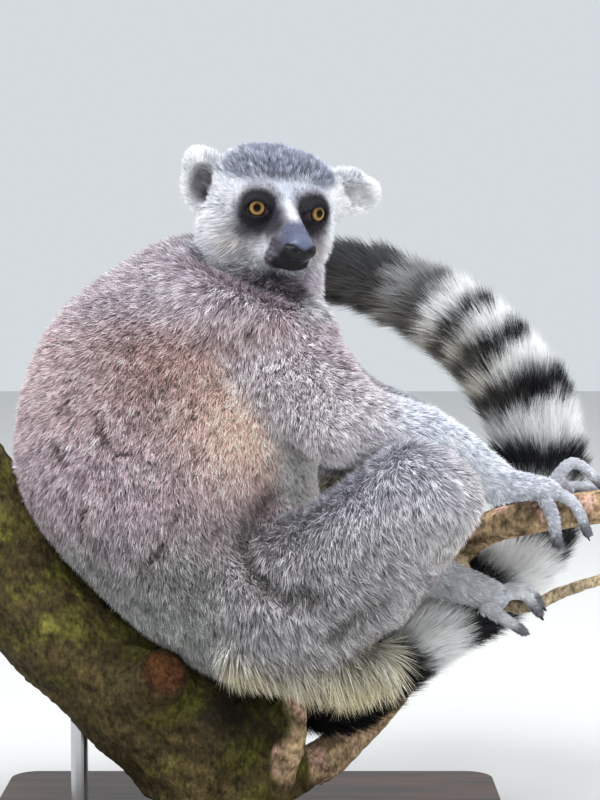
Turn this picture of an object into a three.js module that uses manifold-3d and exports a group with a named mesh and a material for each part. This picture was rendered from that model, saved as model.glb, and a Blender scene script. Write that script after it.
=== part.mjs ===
// A ring-tailed lemur, life size, sitting hunched in the fork of a small tree with both hands on a side branch.
// Millimetres, +Z up. The animal faces +X and turns its head towards -Y. Every flesh form is a loft through a few
// stations along the limb, out to the tips of the coat. Neighbours are parted by thin cuts, and a display stand
// of a flat base and two rods carries the wood.
import * as THREE from "three";
import { LoftGeometry } from "three/addons/geometries/LoftGeometry.js";
import { mergeVertices } from "three/addons/utils/BufferGeometryUtils.js";
import Module from "manifold-3d";

const wasm = await Module();
wasm.setup();

// ---- Driving sizes -------------------------------------------------------------------------------------------
const GAP = 0.3; // the cut that parts two neighbours
const BASE = { length: 300, width: 200, thick: 14, corner: 16, centre: [-30, 0] };
const FLOOR = -12; // the underside of the base, in the heights used below
const ROD_RADIUS = 5;
const EYE_RADIUS = 8;
const EYE_APART = 31.6; // between the eyeballs' centres

// A station is [x, y, z, half width along the loft's side vector, half depth across it].
const TRUNK = [
  [-34, 0, 120, 46, 38],
  [-62, 0, 158, 60, 56],
  [-84, 0, 207, 68, 78],
  [-76, 0, 254, 66, 73],
  [-46, 0, 288, 54, 56],
  [-20, 0, 300, 42, 42],
];
const TRUNK_PIVOT = new THREE.Vector3(30, 0, 205); // in front of the belly; the trunk's sections fan out from it
const NECK = [
  [-22, 0, 300, 29, 28],
  [-20, -8, 320, 33, 34],
  [-24, -16, 344, 30, 31],
];
// Limbs are given for the right side; the left one mirrors in y where nothing else is said.
const UPPER_ARM = [
  [-22, -30, 282, 32, 36],
  [2, -54, 257, 27, 30],
  [24, -72, 236, 24, 26],
];
const FOREARM_RIGHT = [
  [21, -71, 238, 21, 22],
  [66, -58, 226, 17, 20],
  [92, -42, 211, 12, 15],
  [112, -28, 198, 9, 11],
];
const FOREARM_LEFT = [
  [21, 71, 238, 21, 22],
  [66, 58, 224, 17, 19],
  [94, 40, 207, 12, 14],
  [116, 22, 196, 9, 10],
];
const THIGH = [
  [-12, -42, 138, 38, 44],
  [28, -74, 160, 36, 42],
  [66, -99, 204, 28, 32],
];
const HAUNCH_FRINGE = [
  [-4, -44, 106, 26, 22],
  [22, -56, 102, 24, 20],
  [44, -62, 108, 18, 18],
];
const SHANK = [
  [67, -96, 200, 26, 29],
  [64, -60, 174, 21, 24],
  [59, -26, 157, 15, 16],
  [54, -10, 152, 12, 13],
];
const SHANK_LEFT = [
  [67, 96, 200, 26, 29],
  [64, 72, 176, 21, 24],
  [51, 48, 160, 15, 16],
  [44, 40, 156, 12, 13],
];
const FOOT_RIGHT = [
  [52, -10, 151, 11, 12],
  [82, -14, 143, 12, 12],
  [112, -16, 133, 11, 9],
];
const FOOT_LEFT = [
  [42, 38, 155, 11, 12],
  [60, 50, 140, 12, 11],
  [73, 62, 123, 11, 9],
];
const PALM_RIGHT = [
  [110, -28, 198, 10, 9],
  [126, -24, 197, 12, 8],
  [140, -20, 195, 11, 6],
];
const PALM_LEFT = [
  [114, 22, 196, 10, 8],
  [128, 17, 194, 12, 7],
  [142, 13, 192, 11, 6],
];
// Digits are [x, y, z, radius] along each finger or toe.
const DIGIT = 3.8;
const DIGITS = {
  hand_right: [
    [[134, -27, 194], [140, -31, 183], [144, -30, 165]],
    [[141, -23, 195], [153, -28, 188], [161, -28, 171]],
    [[142, -14, 196], [155, -9, 209], [174, -9, 194]],
    [[138, -12, 195], [150, 0, 196], [158, 7, 184]],
    [[122, -16, 193], [126, -5, 192], [129, 4, 181]],
  ],
  hand_left: [
    [[136, 21, 192], [141, 25, 184], [143, 20, 170]],
    [[142, 19, 192], [152, 23, 184], [155, 18, 170]],
    [[146, 14, 192], [160, 19, 188], [166, 15, 174]],
    [[144, 9, 192], [164, 8, 193], [176, 3, 188]],
    [[122, 12, 192], [126, 2, 192], [132, 4, 190]],
  ],
  foot_right: [
    [[110, -10, 134], [124, -9, 137], [134, -9, 128]],
    [[113, -15, 134], [127, -15, 138], [137, -16, 129]],
    [[112, -21, 134], [125, -21, 136], [135, -22, 125]],
    [[104, -24, 129], [116, -27, 122], [126, -25, 115]],
  ],
  foot_left: [
    [[76, 64, 122], [93, 59, 118], [99, 45, 114]],
    [[77, 64, 117], [92, 59, 109], [97, 44, 104]],
    [[74, 63, 114], [86, 59, 101], [91, 44, 96]],
    [[66, 54, 125], [62, 41, 118], [70, 28, 112]],
  ],
};
const TAIL = [
  [-26, 4, 94, 17, 17],
  [-6, 4, 78, 19, 19],
  [16, -2, 72, 22, 22],
  [36, -8, 80, 23, 23],
  [58, -6, 98, 23, 23],
  [78, 4, 111, 23, 23],
  [97, 17, 120, 23, 23],
  [116, 31, 131, 24, 24],
  [131, 43, 147, 25, 25],
  [141, 50, 168, 26, 26],
  [144, 53, 192, 27, 27],
  [142, 56, 215, 27, 27],
  [135, 61, 237, 27, 27],
  [123, 67, 257, 26, 26],
  [107, 73, 275, 25, 25],
  [88, 80, 290, 24, 24],
  [67, 88, 302, 23, 23],
  [45, 96, 311, 22, 22],
  [22, 103, 316, 21, 21],
  [-2, 108, 315, 19, 19],
  [-26, 111, 310, 16, 16],
  [-46, 112, 303, 10, 10],
];
const TAIL_LENGTHS = 6; // nodes that the tail is divided into

// Wood: the seat limb, its side branch, the thin shoot under the foot, the prop under the rump and a sawn stub.
const LIMB = [
  [-222, 22, 214, 40, 40],
  [-177, 14, 158, 37, 37],
  [-155, 8, 126, 33, 34],
  [-122, 2, 94, 31, 33],
  [-88, 0, 66, 33, 38],
  [-58, 0, 40, 36, 46],
  [-44, 0, 8, 38, 48],
];
const LIMB_FOOT = 16; // where the limb is sawn level
const BRANCH = [
  [-20, 4, 30, 13, 13],
  [8, 12, 29, 13, 13],
  [31, 24, 45, 12, 12],
  [56, 36, 69, 11, 11],
  [74, 43, 100, 10, 10],
  [86, 38, 135, 10, 10],
  [97, 24, 158, 10, 10],
  [112, 4, 171, 10, 10],
  [131, -6, 177, 10, 10],
  [182, -18, 187, 10, 10],
];
const SHOOT = [
  [92, 26, 150, 5, 5],
  [99, 4, 138, 5, 5],
  [108, -8, 131, 5, 5],
  [130, -14, 127, 4, 4],
  [147, -15, 135, 4, 4],
  [180, -20, 147, 3.5, 3.5],
];
const PROP = [
  [-16, -18, 24, 9, 9],
  [-5, -24, 52, 9, 9],
  [-4, -25, 92, 8, 8],
];
const STUB = [
  [-92, -8, 76, 17, 17],
  [-76, -36, 94, 16, 16],
];

// Head frame: origin midway between the eyeballs. f forwards, l to the animal's left, u up.
const HEAD = { at: [-9, -45, 351], yaw: 21, pitch: 6, roll: 4.5 }; // degrees; yaw 0 looks along -Y
const CRANIUM = { at: [-30, 0, 5], radii: [36, 35, 31] };
const BROW = { at: [-12, 14, -1], radii: [17, 17, 18] };
const CHEEK = { at: [-26, 22, -14], radii: [23, 20, 21] };
const JAW = { at: [-10, 0, -20], radii: [27, 19, 13] };
const MUZZLE = [
  [-10, 0, -11, 18, 16],
  [12, 0, -16, 13.5, 13],
  [26, 0, -18, 10.5, 11],
];
const EARS = {
  right: { at: [-34, -38, 11], half: [14, 20, 8], turn: -38, lean: 10 },
  left: { at: [-32, 49, 15], half: [18, 13, 8], turn: 30, lean: 12 },
};
const EAR_CUP = 0.72; // the hollow's size against the ear's

// ---- Making solids -------------------------------------------------------------------------------------------
const UP = new THREE.Vector3(0, 0, 1);
const SIDEWAYS = new THREE.Vector3(0, 1, 0);
const rad = THREE.MathUtils.degToRad;
const mirrored = (stations) => stations.map(([x, y, ...rest]) => [x, -y, ...rest]);

function solidOf(geometry) {
  const bare = geometry.index ? geometry.toNonIndexed() : geometry.clone();
  bare.deleteAttribute("normal");
  bare.deleteAttribute("uv");
  const merged = mergeVertices(bare, 1e-3);
  const mesh = new wasm.Mesh({
    numProp: 3,
    vertProperties: merged.attributes.position.array,
    triVerts: new Uint32Array(merged.index.array),
  });
  mesh.merge(); // closes what rounding kept apart along a cap's rim
  return new wasm.Manifold(mesh);
}

function geometryOf(solid) {
  const mesh = solid.getMesh();
  const geometry = new THREE.BufferGeometry();
  geometry.setAttribute("position", new THREE.BufferAttribute(mesh.vertProperties, 3));
  geometry.setIndex(new THREE.BufferAttribute(mesh.triVerts, 1));
  geometry.computeVertexNormals();
  return geometry;
}

const largest = (solid) => solid.decompose().sort((a, b) => b.volume() - a.volume())[0];
const joined = (solids) => solids.reduce((whole, next) => whole.add(next));

// A closed loft through stations, with an elliptical section and ends rounded over `dome` of the end's radius.
// Sections stand square to the path, or fan out from a pivot where the path bends more tightly than it is thick.
function loft(
  stations,
  { side = SIDEWAYS, around = 10, spans = 2, dome = [0.8, 0.8], grow = 0, pivot = null } = {},
) {
  const centre = new THREE.CatmullRomCurve3(stations.map(([x, y, z]) => new THREE.Vector3(x, y, z)));
  const girth = new THREE.CatmullRomCurve3(stations.map(([, , , w, d]) => new THREE.Vector3(w, d, 0)));
  const rings = (stations.length - 1) * spans;
  const ring = (t, push, shrink) => {
    const fan = pivot && centre.getPoint(t).sub(pivot).normalize();
    const along = pivot ? new THREE.Vector3().crossVectors(side, fan) : centre.getTangent(t);
    const wide = side.clone().addScaledVector(along, -side.dot(along)).normalize();
    const deep = new THREE.Vector3().crossVectors(along, wide);
    const size = girth.getPoint(t);
    const middle = centre.getPoint(t).addScaledVector(along, push * Math.min(size.x, size.y));
    return Array.from({ length: around }, (_, i) => {
      const angle = (i / around) * 2 * Math.PI;
      return middle
        .clone()
        .addScaledVector(wide, Math.cos(angle) * (size.x * shrink + grow))
        .addScaledVector(deep, Math.sin(angle) * (size.y * shrink + grow));
    });
  };
  const sines = [0.8]; // of the angles at which a dome's rings stand
  const start = dome[0] > 0 ? sines : [];
  const end = dome[1] > 0 ? sines.toReversed() : [];
  const sections = [
    ...start.map((s) => ring(0, -dome[0] * s, Math.sqrt(1 - s * s))),
    ...Array.from({ length: rings + 1 }, (_, i) => ring(i / rings, 0, 1)),
    ...end.map((s) => ring(1, dome[1] * s, Math.sqrt(1 - s * s))),
  ];
  return solidOf(new LoftGeometry(sections, { capStart: true, capEnd: true }));
}

const headFrame = new THREE.Matrix4()
  .makeTranslation(...HEAD.at)
  .multiply(new THREE.Matrix4().makeRotationZ(rad(HEAD.yaw - 90)))
  .multiply(new THREE.Matrix4().makeRotationY(rad(HEAD.pitch)))
  .multiply(new THREE.Matrix4().makeRotationX(rad(-HEAD.roll)));

// An ellipsoid in the head's frame.
function headBall({ at, radii }, { grow = 0, sideways = 1, around = 9, rows = 6 } = {}) {
  const ball = new THREE.SphereGeometry(1, around, rows);
  ball.scale(...radii.map((r) => r + grow));
  ball.translate(at[0], at[1] * sideways, at[2]);
  return solidOf(ball.applyMatrix4(headFrame));
}

function muzzle(grow) {
  const points = MUZZLE.map(([f, l, u, w, d]) => [
    ...new THREE.Vector3(f, l, u).applyMatrix4(headFrame).toArray(),
    w,
    d,
  ]);
  const side = new THREE.Vector3(0, 1, 0).transformDirection(headFrame);
  return loft(points, { side, around: 10, dome: [0.5, 0.75], grow });
}

function eye(sideways, grow) {
  const at = [0, (sideways * EYE_APART) / 2, 0];
  return headBall({ at, radii: [EYE_RADIUS, EYE_RADIUS, EYE_RADIUS] }, { grow, around: 10, rows: 7 });
}

function head(grow = 0) {
  return joined([
    headBall(CRANIUM, { grow, around: 12, rows: 8 }),
    headBall(JAW, { grow }),
    ...[1, -1].map((sideways) => headBall(BROW, { grow, sideways })),
    ...[1, -1].map((sideways) => headBall(CHEEK, { grow, sideways })),
    muzzle(grow),
  ]);
}

// An ear is a flat ovoid with a cup sunk in its front. `turn` swings its face outwards, `lean` tips it sideways.
function ear({ at, half, turn, lean }, grow = 0) {
  const [wide, tall, thick] = half;
  const place = headFrame
    .clone()
    .multiply(new THREE.Matrix4().makeTranslation(...at))
    .multiply(new THREE.Matrix4().makeRotationZ(rad(turn)))
    .multiply(new THREE.Matrix4().makeRotationX(rad(at[1] > 0 ? -lean : lean)));
  const shell = new THREE.SphereGeometry(1, 12, 7).scale(thick + grow, wide + grow, tall + grow);
  const whole = solidOf(shell.applyMatrix4(place));
  const cup = new THREE.SphereGeometry(1, 10, 6)
    .scale(thick * 1.1, wide * EAR_CUP, tall * EAR_CUP)
    .translate(thick * 0.95, 0, -1);
  return grow > 0 ? whole : whole.subtract(solidOf(cup.applyMatrix4(place)));
}

function digits(name, grow) {
  return DIGITS[name].map((path) =>
    loft(
      path.map(([x, y, z], i) => [x, y, z, DIGIT - 0.4 * i, DIGIT - 0.4 * i]),
      { side: new THREE.Vector3(0.3, 1, 0.2), around: 5, dome: [0, 0.8], grow },
    ),
  );
}

function paw(name, palm, grow) {
  return joined([loft(palm, { around: 8, grow }), ...digits(name, grow)]);
}

// The tail is one loft, cut square into lengths of equal run.
function tailLength(index, grow) {
  const curve = new THREE.CatmullRomCurve3(TAIL.map(([x, y, z]) => new THREE.Vector3(x, y, z)));
  const spans = TAIL.length - 1;
  const girth = new THREE.CatmullRomCurve3(TAIL.map(([, , , w, d]) => new THREE.Vector3(w, d, 0)));
  const from = index / TAIL_LENGTHS;
  const to = (index + 1) / TAIL_LENGTHS;
  const steps = Math.ceil(spans / TAIL_LENGTHS);
  const stations = Array.from({ length: steps + 1 }, (_, i) => {
    const t = from + ((to - from) * i) / steps;
    return [...curve.getPoint(t).toArray(), ...girth.getPoint(t).toArray().slice(0, 2)];
  });
  const dome = [index === 0 ? 0.8 : 0, index === TAIL_LENGTHS - 1 ? 1.2 : 0];
  return loft(stations, { side: TAIL_SIDE, around: 10, spans: 1, dome, grow });
}
const TAIL_SIDE = new THREE.Vector3(0.2, 1, 0.3);

// ---- Forms: each is a function of how far to grow it, so that a neighbour can be cut with the gap ---------------
const FORMS = {
  eye_right: (g) => eye(-1, g),
  eye_left: (g) => eye(1, g),
  ear_right: (g) => ear(EARS.right, g),
  ear_left: (g) => ear(EARS.left, g),
  head: (g) => head(g),
  neck: (g) => loft(NECK, { grow: g }),
  hand_right: (g) => paw("hand_right", PALM_RIGHT, g),
  hand_left: (g) => paw("hand_left", PALM_LEFT, g),
  foot_right: (g) => paw("foot_right", FOOT_RIGHT, g),
  foot_left: (g) => paw("foot_left", FOOT_LEFT, g),
  forearm_right: (g) => loft(FOREARM_RIGHT, { grow: g, dome: [0.8, 0.2] }),
  forearm_left: (g) => loft(FOREARM_LEFT, { grow: g, dome: [0.8, 0.2] }),
  upper_arm_right: (g) => loft(UPPER_ARM, { grow: g }),
  upper_arm_left: (g) => loft(mirrored(UPPER_ARM), { grow: g }),
  thigh_right: (g) => joined([loft(THIGH, { grow: g, around: 14, spans: 2 }), loft(HAUNCH_FRINGE, { grow: g })]),
  thigh_left: (g) =>
    joined([loft(mirrored(THIGH), { grow: g, around: 14, spans: 2 }), loft(mirrored(HAUNCH_FRINGE), { grow: g })]),
  shank_right: (g) => loft(SHANK, { side: UP, grow: g, dome: [0.8, 0.3] }),
  shank_left: (g) => loft(SHANK_LEFT, { side: UP, grow: g, dome: [0.8, 0.3] }),
  trunk: (g) => loft(TRUNK, { grow: g, around: 16, dome: [0.8, 0.5], pivot: TRUNK_PIVOT }),
  perch_limb: (g) => loft(LIMB, { grow: g, around: 12, dome: [0.12, 0] }).trimByPlane([0, 0, 1], LIMB_FOOT - g),
  perch_branch: (g) => loft(BRANCH, { grow: g, around: 8, dome: [0.3, 0.12] }),
  perch_shoot: (g) => loft(SHOOT, { grow: g, around: 8, dome: [0.3, 0.12] }),
  perch_prop: (g) => loft(PROP, { grow: g, around: 10 }),
  perch_stub: (g) => loft(STUB, { side: UP, grow: g, around: 12, dome: [0.2, 0.1] }),
};
for (let i = 0; i < TAIL_LENGTHS; i += 1) FORMS[`tail_${i + 1}`] = (g) => tailLength(i, g);
const TAILS = Array.from({ length: TAIL_LENGTHS }, (_, i) => `tail_${i + 1}`);

// Each node is cut back by the nodes named after it, so a name earlier in ORDER keeps its whole form.
const ORDER = [
  "perch_limb", "perch_branch", "perch_shoot", "perch_prop", "perch_stub",
  "eye_right", "eye_left", "head", "ear_right", "ear_left",
  "hand_right", "hand_left", "foot_right", "foot_left",
  "upper_arm_right", "upper_arm_left", "forearm_right", "forearm_left",
  "thigh_right", "thigh_left", "shank_right", "shank_left",
  "trunk", "neck", ...TAILS,
];

const LOOKS = {
  wood: { color: "#5c4a33", roughness: 0.9 },
  white_fur: { color: "#d9d8da", roughness: 0.95 },
  grey_fur: { color: "#9a9699", roughness: 0.95 },
  brown_fur: { color: "#9b8479", roughness: 0.95 },
  dark_fur: { color: "#3c3d42", roughness: 0.95 },
  eye: { color: "#b9813a", roughness: 0.1 },
  metal: { color: "#8f9194", roughness: 0.35, metalness: 1 },
  base: { color: "#3b2b20", roughness: 0.5 },
};
function lookOf(name) {
  if (name.startsWith("perch")) return LOOKS.wood;
  if (name.startsWith("eye")) return LOOKS.eye;
  if (name.startsWith("head") || name.startsWith("ear")) return LOOKS.white_fur;
  if (name.startsWith("trunk")) return LOOKS.brown_fur;
  if (name.startsWith("tail")) return LOOKS.dark_fur;
  if (name.startsWith("stand_rod")) return LOOKS.metal;
  if (name.startsWith("stand")) return LOOKS.base;
  return LOOKS.grey_fur;
}

function meshOf(name, solid) {
  const mesh = new THREE.Mesh(geometryOf(solid), new THREE.MeshStandardMaterial(lookOf(name)));
  mesh.name = name;
  return mesh;
}

// ---- Stand ---------------------------------------------------------------------------------------------------
function standBase() {
  const [cx, cy] = BASE.centre;
  const half = [BASE.length / 2, BASE.width / 2];
  const outline = new THREE.Shape();
  const corners = [[1, -1], [1, 1], [-1, 1], [-1, -1]];
  corners.forEach(([sx, sy], i) => {
    const angle = (i - 1) * (Math.PI / 2);
    const middle = [cx + sx * (half[0] - BASE.corner), cy + sy * (half[1] - BASE.corner)];
    outline.absarc(...middle, BASE.corner, angle, angle + Math.PI / 2);
  });
  const plate = new THREE.ExtrudeGeometry(outline, { depth: BASE.thick, bevelEnabled: false, curveSegments: 6 });
  return solidOf(plate.translate(0, 0, FLOOR));
}

// A rod stands on the base and enters the limb from below.
function standRod([x, y, top]) {
  const foot = FLOOR + BASE.thick + GAP;
  const rod = new THREE.CylinderGeometry(ROD_RADIUS, ROD_RADIUS, top - foot, 20);
  return solidOf(rod.rotateX(Math.PI / 2).translate(x, y, (top + foot) / 2));
}
const RODS = { stand_rod_back: [-128, 3, 90], stand_rod_front: [-44, 0, 30] };

// ---- Assembly ------------------------------------------------------------------------------------------------
const lemur = new THREE.Group();
lemur.name = "ring_tailed_lemur";
const cutters = [];
ORDER.forEach((name) => {
  const whole = FORMS[name](0);
  const solid = cutters.reduce((left, cutter) => left.subtract(cutter), whole);
  cutters.push(FORMS[name](GAP));
  lemur.add(meshOf(name, largest(solid)));
});
lemur.add(meshOf("stand_base", standBase()));
const wood = FORMS.perch_limb(GAP);
for (const [name, spot] of Object.entries(RODS)) {
  lemur.add(meshOf(name, largest(standRod(spot).subtract(wood))));
}

// The origin is under the middle of the whole object, on the floor.
const bounds = new THREE.Box3().setFromObject(lemur);
const middle = bounds.getCenter(new THREE.Vector3());
lemur.position.set(-middle.x, -middle.y, -bounds.min.z);

export default lemur;
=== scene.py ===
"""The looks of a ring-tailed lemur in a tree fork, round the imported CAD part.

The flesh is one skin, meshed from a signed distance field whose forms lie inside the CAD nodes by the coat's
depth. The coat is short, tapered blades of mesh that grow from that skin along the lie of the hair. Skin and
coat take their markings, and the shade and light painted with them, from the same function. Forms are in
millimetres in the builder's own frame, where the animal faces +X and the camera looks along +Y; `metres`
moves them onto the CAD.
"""

import math

import bmesh
import bpy
import numpy as np
import openvdb
from mathutils import Matrix, Vector


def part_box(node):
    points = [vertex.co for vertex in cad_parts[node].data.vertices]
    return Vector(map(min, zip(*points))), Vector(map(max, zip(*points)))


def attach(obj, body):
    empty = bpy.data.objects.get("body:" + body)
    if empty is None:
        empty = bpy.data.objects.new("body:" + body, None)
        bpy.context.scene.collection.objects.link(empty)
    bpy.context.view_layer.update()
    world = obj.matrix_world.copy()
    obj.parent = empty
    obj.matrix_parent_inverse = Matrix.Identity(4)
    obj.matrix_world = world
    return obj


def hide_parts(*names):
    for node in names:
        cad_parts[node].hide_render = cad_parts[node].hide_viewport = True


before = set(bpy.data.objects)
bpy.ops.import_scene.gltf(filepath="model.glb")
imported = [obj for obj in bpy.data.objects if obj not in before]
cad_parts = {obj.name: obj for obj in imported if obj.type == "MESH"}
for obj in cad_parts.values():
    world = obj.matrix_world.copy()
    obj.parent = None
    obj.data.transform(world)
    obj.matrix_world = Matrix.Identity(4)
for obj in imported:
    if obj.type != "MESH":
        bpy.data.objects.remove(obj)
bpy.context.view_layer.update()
MM = 0.001
SIDES = ((-1, "right"), (1, "left"))  # the sign of Y on each of the animal's sides

# ---- Forms, out to the tips of the coat, as the CAD has them ----
# A station is [x, y, z, half width along the side vector, half depth across it], or [x, y, z, radius].
TRUNK = [
    [-34, 0, 120, 46, 38], [-62, 0, 158, 60, 56], [-84, 0, 207, 68, 78],
    [-76, 0, 254, 66, 73], [-46, 0, 288, 54, 56], [-20, 0, 300, 42, 42],
]
TRUNK_PIVOT = (30, 205)
NECK = [[-22, 0, 300, 31, 30], [-20, -8, 320, 33, 34], [-24, -16, 344, 30, 31]]
# The roll of fur that the chin rests on, round the near side of the neck.
COLLAR = [
    [-62, -14, 306, 22, 20], [-48, -36, 302, 22, 20], [-26, -46, 295, 20, 19], [-6, -44, 288, 18, 18],
    [2, -34, 280, 14, 14],
]
# Alike on both sides, given for the right.
UPPER_ARM = [[-22, -30, 282, 32, 36], [2, -54, 257, 27, 30], [24, -72, 236, 24, 26]]
THIGH_FORM = [[-12, -42, 138, 38, 44], [28, -74, 160, 36, 42], [66, -99, 204, 28, 32]]
FRINGE = [[-33, -44, 104, 20, 18], [-4, -46, 104, 26, 22], [22, -56, 102, 24, 20], [44, -62, 108, 18, 18]]
# Different from side to side.
LIMBS = {
    "right": {
        "forearm": [
            [21, -71, 238, 22, 23], [66, -58, 226, 17, 20], [92, -42, 211, 12, 15], [112, -28, 198, 9, 11],
        ],
        "shank": [
            [67, -96, 200, 26, 29], [64, -60, 174, 21, 24], [59, -26, 157, 15, 16], [54, -10, 152, 12, 13],
        ],
        "foot": [[52, -10, 151, 11, 12], [82, -14, 143, 12, 12], [112, -16, 133, 11, 9]],
        "palm": [[110, -28, 198, 10, 9], [126, -24, 197, 12, 8], [140, -20, 195, 11, 6]],
    },
    "left": {
        "forearm": [
            [21, 71, 238, 22, 23], [66, 58, 224, 17, 19], [94, 40, 207, 12, 14], [116, 22, 196, 9, 10],
        ],
        "shank": [[67, 96, 200, 26, 29], [64, 72, 176, 21, 24], [51, 48, 160, 15, 16], [44, 40, 156, 12, 13]],
        "foot": [[42, 38, 155, 11, 12], [60, 50, 140, 12, 11], [73, 62, 123, 11, 9]],
        "palm": [[114, 22, 196, 10, 8], [128, 17, 194, 12, 7], [142, 13, 192, 11, 6]],
    },
}
# Folds of the coat as (x, z) from the side: between thigh and rump, thigh and fringe, and under the chin.
HAUNCH_FOLD = [(-17, 199), (-28, 185), (-32, 169), (-26, 156), (-8, 147), (6, 149)]
UNDER_FOLD = [(15, 126), (27, 139), (40, 147)]
CHIN_FOLD = [(-52, 324), (-32, 316), (-17, 309), (-5, 304)]
DIGIT = 3.8  # radius at the knuckle, which each further joint loses 0.4 of
DIGITS = {
    "hand_right": [
        [[134, -27, 194], [140, -31, 183], [144, -30, 165]],
        [[141, -23, 195], [153, -28, 188], [161, -28, 171]],
        [[142, -14, 196], [155, -9, 209], [174, -9, 194]],
        [[138, -12, 195], [150, 0, 196], [158, 7, 184]],
        [[122, -16, 193], [126, -5, 192], [129, 4, 181]],
    ],
    "hand_left": [
        [[136, 21, 192], [141, 25, 184], [143, 20, 170]],
        [[142, 19, 192], [152, 23, 184], [155, 18, 170]],
        [[146, 14, 192], [160, 19, 188], [166, 15, 174]],
        [[144, 9, 192], [164, 8, 193], [176, 3, 188]],
        [[122, 12, 192], [126, 2, 192], [132, 4, 190]],
    ],
    "foot_right": [
        [[110, -10, 134], [124, -9, 137], [134, -9, 128]],
        [[113, -15, 134], [127, -15, 138], [137, -16, 129]],
        [[112, -21, 134], [125, -21, 136], [135, -22, 125]],
        [[104, -24, 129], [116, -27, 122], [126, -25, 115]],
    ],
    "foot_left": [
        [[76, 64, 122], [93, 59, 118], [99, 45, 114]],
        [[77, 64, 117], [92, 59, 109], [97, 44, 104]],
        [[74, 63, 114], [86, 59, 101], [91, 44, 96]],
        [[66, 54, 125], [62, 41, 118], [70, 28, 112]],
    ],
}
TAIL = [
    [-26, 4, 94, 17], [-6, 4, 78, 19], [16, -2, 72, 22], [36, -8, 80, 23], [58, -6, 98, 23],
    [78, 4, 111, 23], [97, 17, 120, 23], [116, 31, 131, 24], [131, 43, 147, 25], [141, 50, 168, 26],
    [144, 53, 192, 27], [142, 56, 215, 27], [135, 61, 237, 27], [123, 67, 257, 26], [107, 73, 275, 25],
    [88, 80, 290, 24], [67, 88, 302, 23], [45, 96, 311, 22], [22, 103, 316, 21], [-2, 108, 315, 19],
    [-26, 111, 310, 16], [-46, 112, 303, 10],
]
LIMB = [
    [-222, 22, 214, 40, 40], [-177, 14, 158, 37, 37], [-155, 8, 126, 33, 34], [-122, 2, 94, 31, 33],
    [-88, 0, 66, 33, 38], [-50, 0, 36, 34, 40],
]
LIMB_FOOT = 16  # height of the saw cut at the limb's foot
BRANCH = [
    [-20, 4, 30, 13], [8, 12, 29, 13], [31, 24, 45, 12], [56, 36, 69, 11], [74, 43, 100, 10],
    [86, 38, 135, 10], [97, 24, 158, 10], [112, 4, 171, 10], [131, -6, 177, 10], [182, -18, 187, 10],
]
SHOOT = [
    [92, 26, 150, 5], [99, 4, 138, 5], [108, -8, 131, 5], [130, -14, 127, 4], [147, -15, 135, 4],
    [180, -20, 147, 3.5],
]
PROP = [[-16, -18, 24, 9], [-5, -24, 52, 9], [-4, -25, 92, 8]]
STUB = [[-92, -8, 76, 17], [-76, -36, 94, 16]]
BASE_CENTRE = (-30, 0)
FLOOR = -12


def turned(*turns):
    """The product of turns, each an angle in degrees and an axis; its columns are the three axes."""
    total = Matrix.Identity(3)
    for degrees, axis in turns:
        total = total @ Matrix.Rotation(math.radians(degrees), 3, axis)
    return np.array(total)


# The head's frame: origin midway between the eyeballs, axes forwards, to the animal's left, and up.
HEAD_AT = np.array([-9.0, -45.0, 351.0])
HEAD_AXES = turned((21 - 90, "Z"), (6, "Y"), (-4.5, "X"))
EYE_RADIUS = 8.0
EYE_APART = 31.6
EYE_SPLAY = 17  # degrees that each eye looks outwards
EARS = {
    -1: {"at": [-33, -34.5, 9.5], "wide": 12.5, "tall": 15.5, "point": [-4.5, 11.5], "turn": -38, "lean": 10},
    1: {"at": [-33, 52, 12], "wide": 20, "tall": 10.5, "point": [16, 4], "turn": 30, "lean": -12},
}


def metres(points):
    """Builder's millimetres to the CAD's metres."""
    low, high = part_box("stand_base")
    shift = np.array([(low[0] + high[0]) / 2, (low[1] + high[1]) / 2, low[2]])
    return (np.asarray(points, float) - [*BASE_CENTRE, FLOOR]) * MM + shift


def of_head(points):
    """Points in the head's frame to the builder's frame."""
    return HEAD_AT + np.asarray(points, float) @ HEAD_AXES.T


def in_head(points):
    return (points - HEAD_AT) @ HEAD_AXES


def unit(vectors):
    return vectors / np.maximum(np.linalg.norm(vectors, axis=-1, keepdims=True), 1e-9)


def on_side(way, stations):
    """Stations given for the right side, moved to the side whose sign of Y is `way`."""
    return [[x, -way * y, *rest] for x, y, *rest in stations]


def sided(*kinds):
    return [f"{kind}_{side}" for kind in kinds for _, side in SIDES]


def curve(points, spans):
    """The centripetal Catmull-Rom curve that the CAD's lofts follow, with `spans` steps to a point."""
    p = np.asarray(points, float)
    p = np.vstack([2 * p[0] - p[1], p, 2 * p[-1] - p[-2]])
    s = (np.arange(spans) / spans)[:, None]
    rows = []
    for p0, p1, p2, p3 in zip(p[:-3], p[1:-2], p[2:-1], p[3:]):
        d0, d1, d2 = (np.linalg.norm(b - a) ** 0.5 for a, b in ((p0, p1), (p1, p2), (p2, p3)))
        d1 = d1 if d1 > 1e-4 else 1.0
        d0 = d0 if d0 > 1e-4 else d1
        d2 = d2 if d2 > 1e-4 else d1
        m1 = ((p1 - p0) / d0 - (p2 - p0) / (d0 + d1) + (p2 - p1) / d1) * d1
        m2 = ((p2 - p1) / d1 - (p3 - p1) / (d1 + d2) + (p3 - p2) / d2) * d1
        bend, twist = -3 * p1 + 3 * p2 - 2 * m1 - m2, 2 * p1 - 2 * p2 + m1 + m2
        rows.append(p1 + m1 * s + bend * s**2 + twist * s**3)
    return np.vstack([*rows, p[-2]])


# ---- The forms as distance fields ----
def close_to(form, points, reach):
    """Whether points lie in a form's box, or within `reach` of it."""
    return ((points > form.low - reach) & (points < form.high + reach)).all(1)


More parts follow.
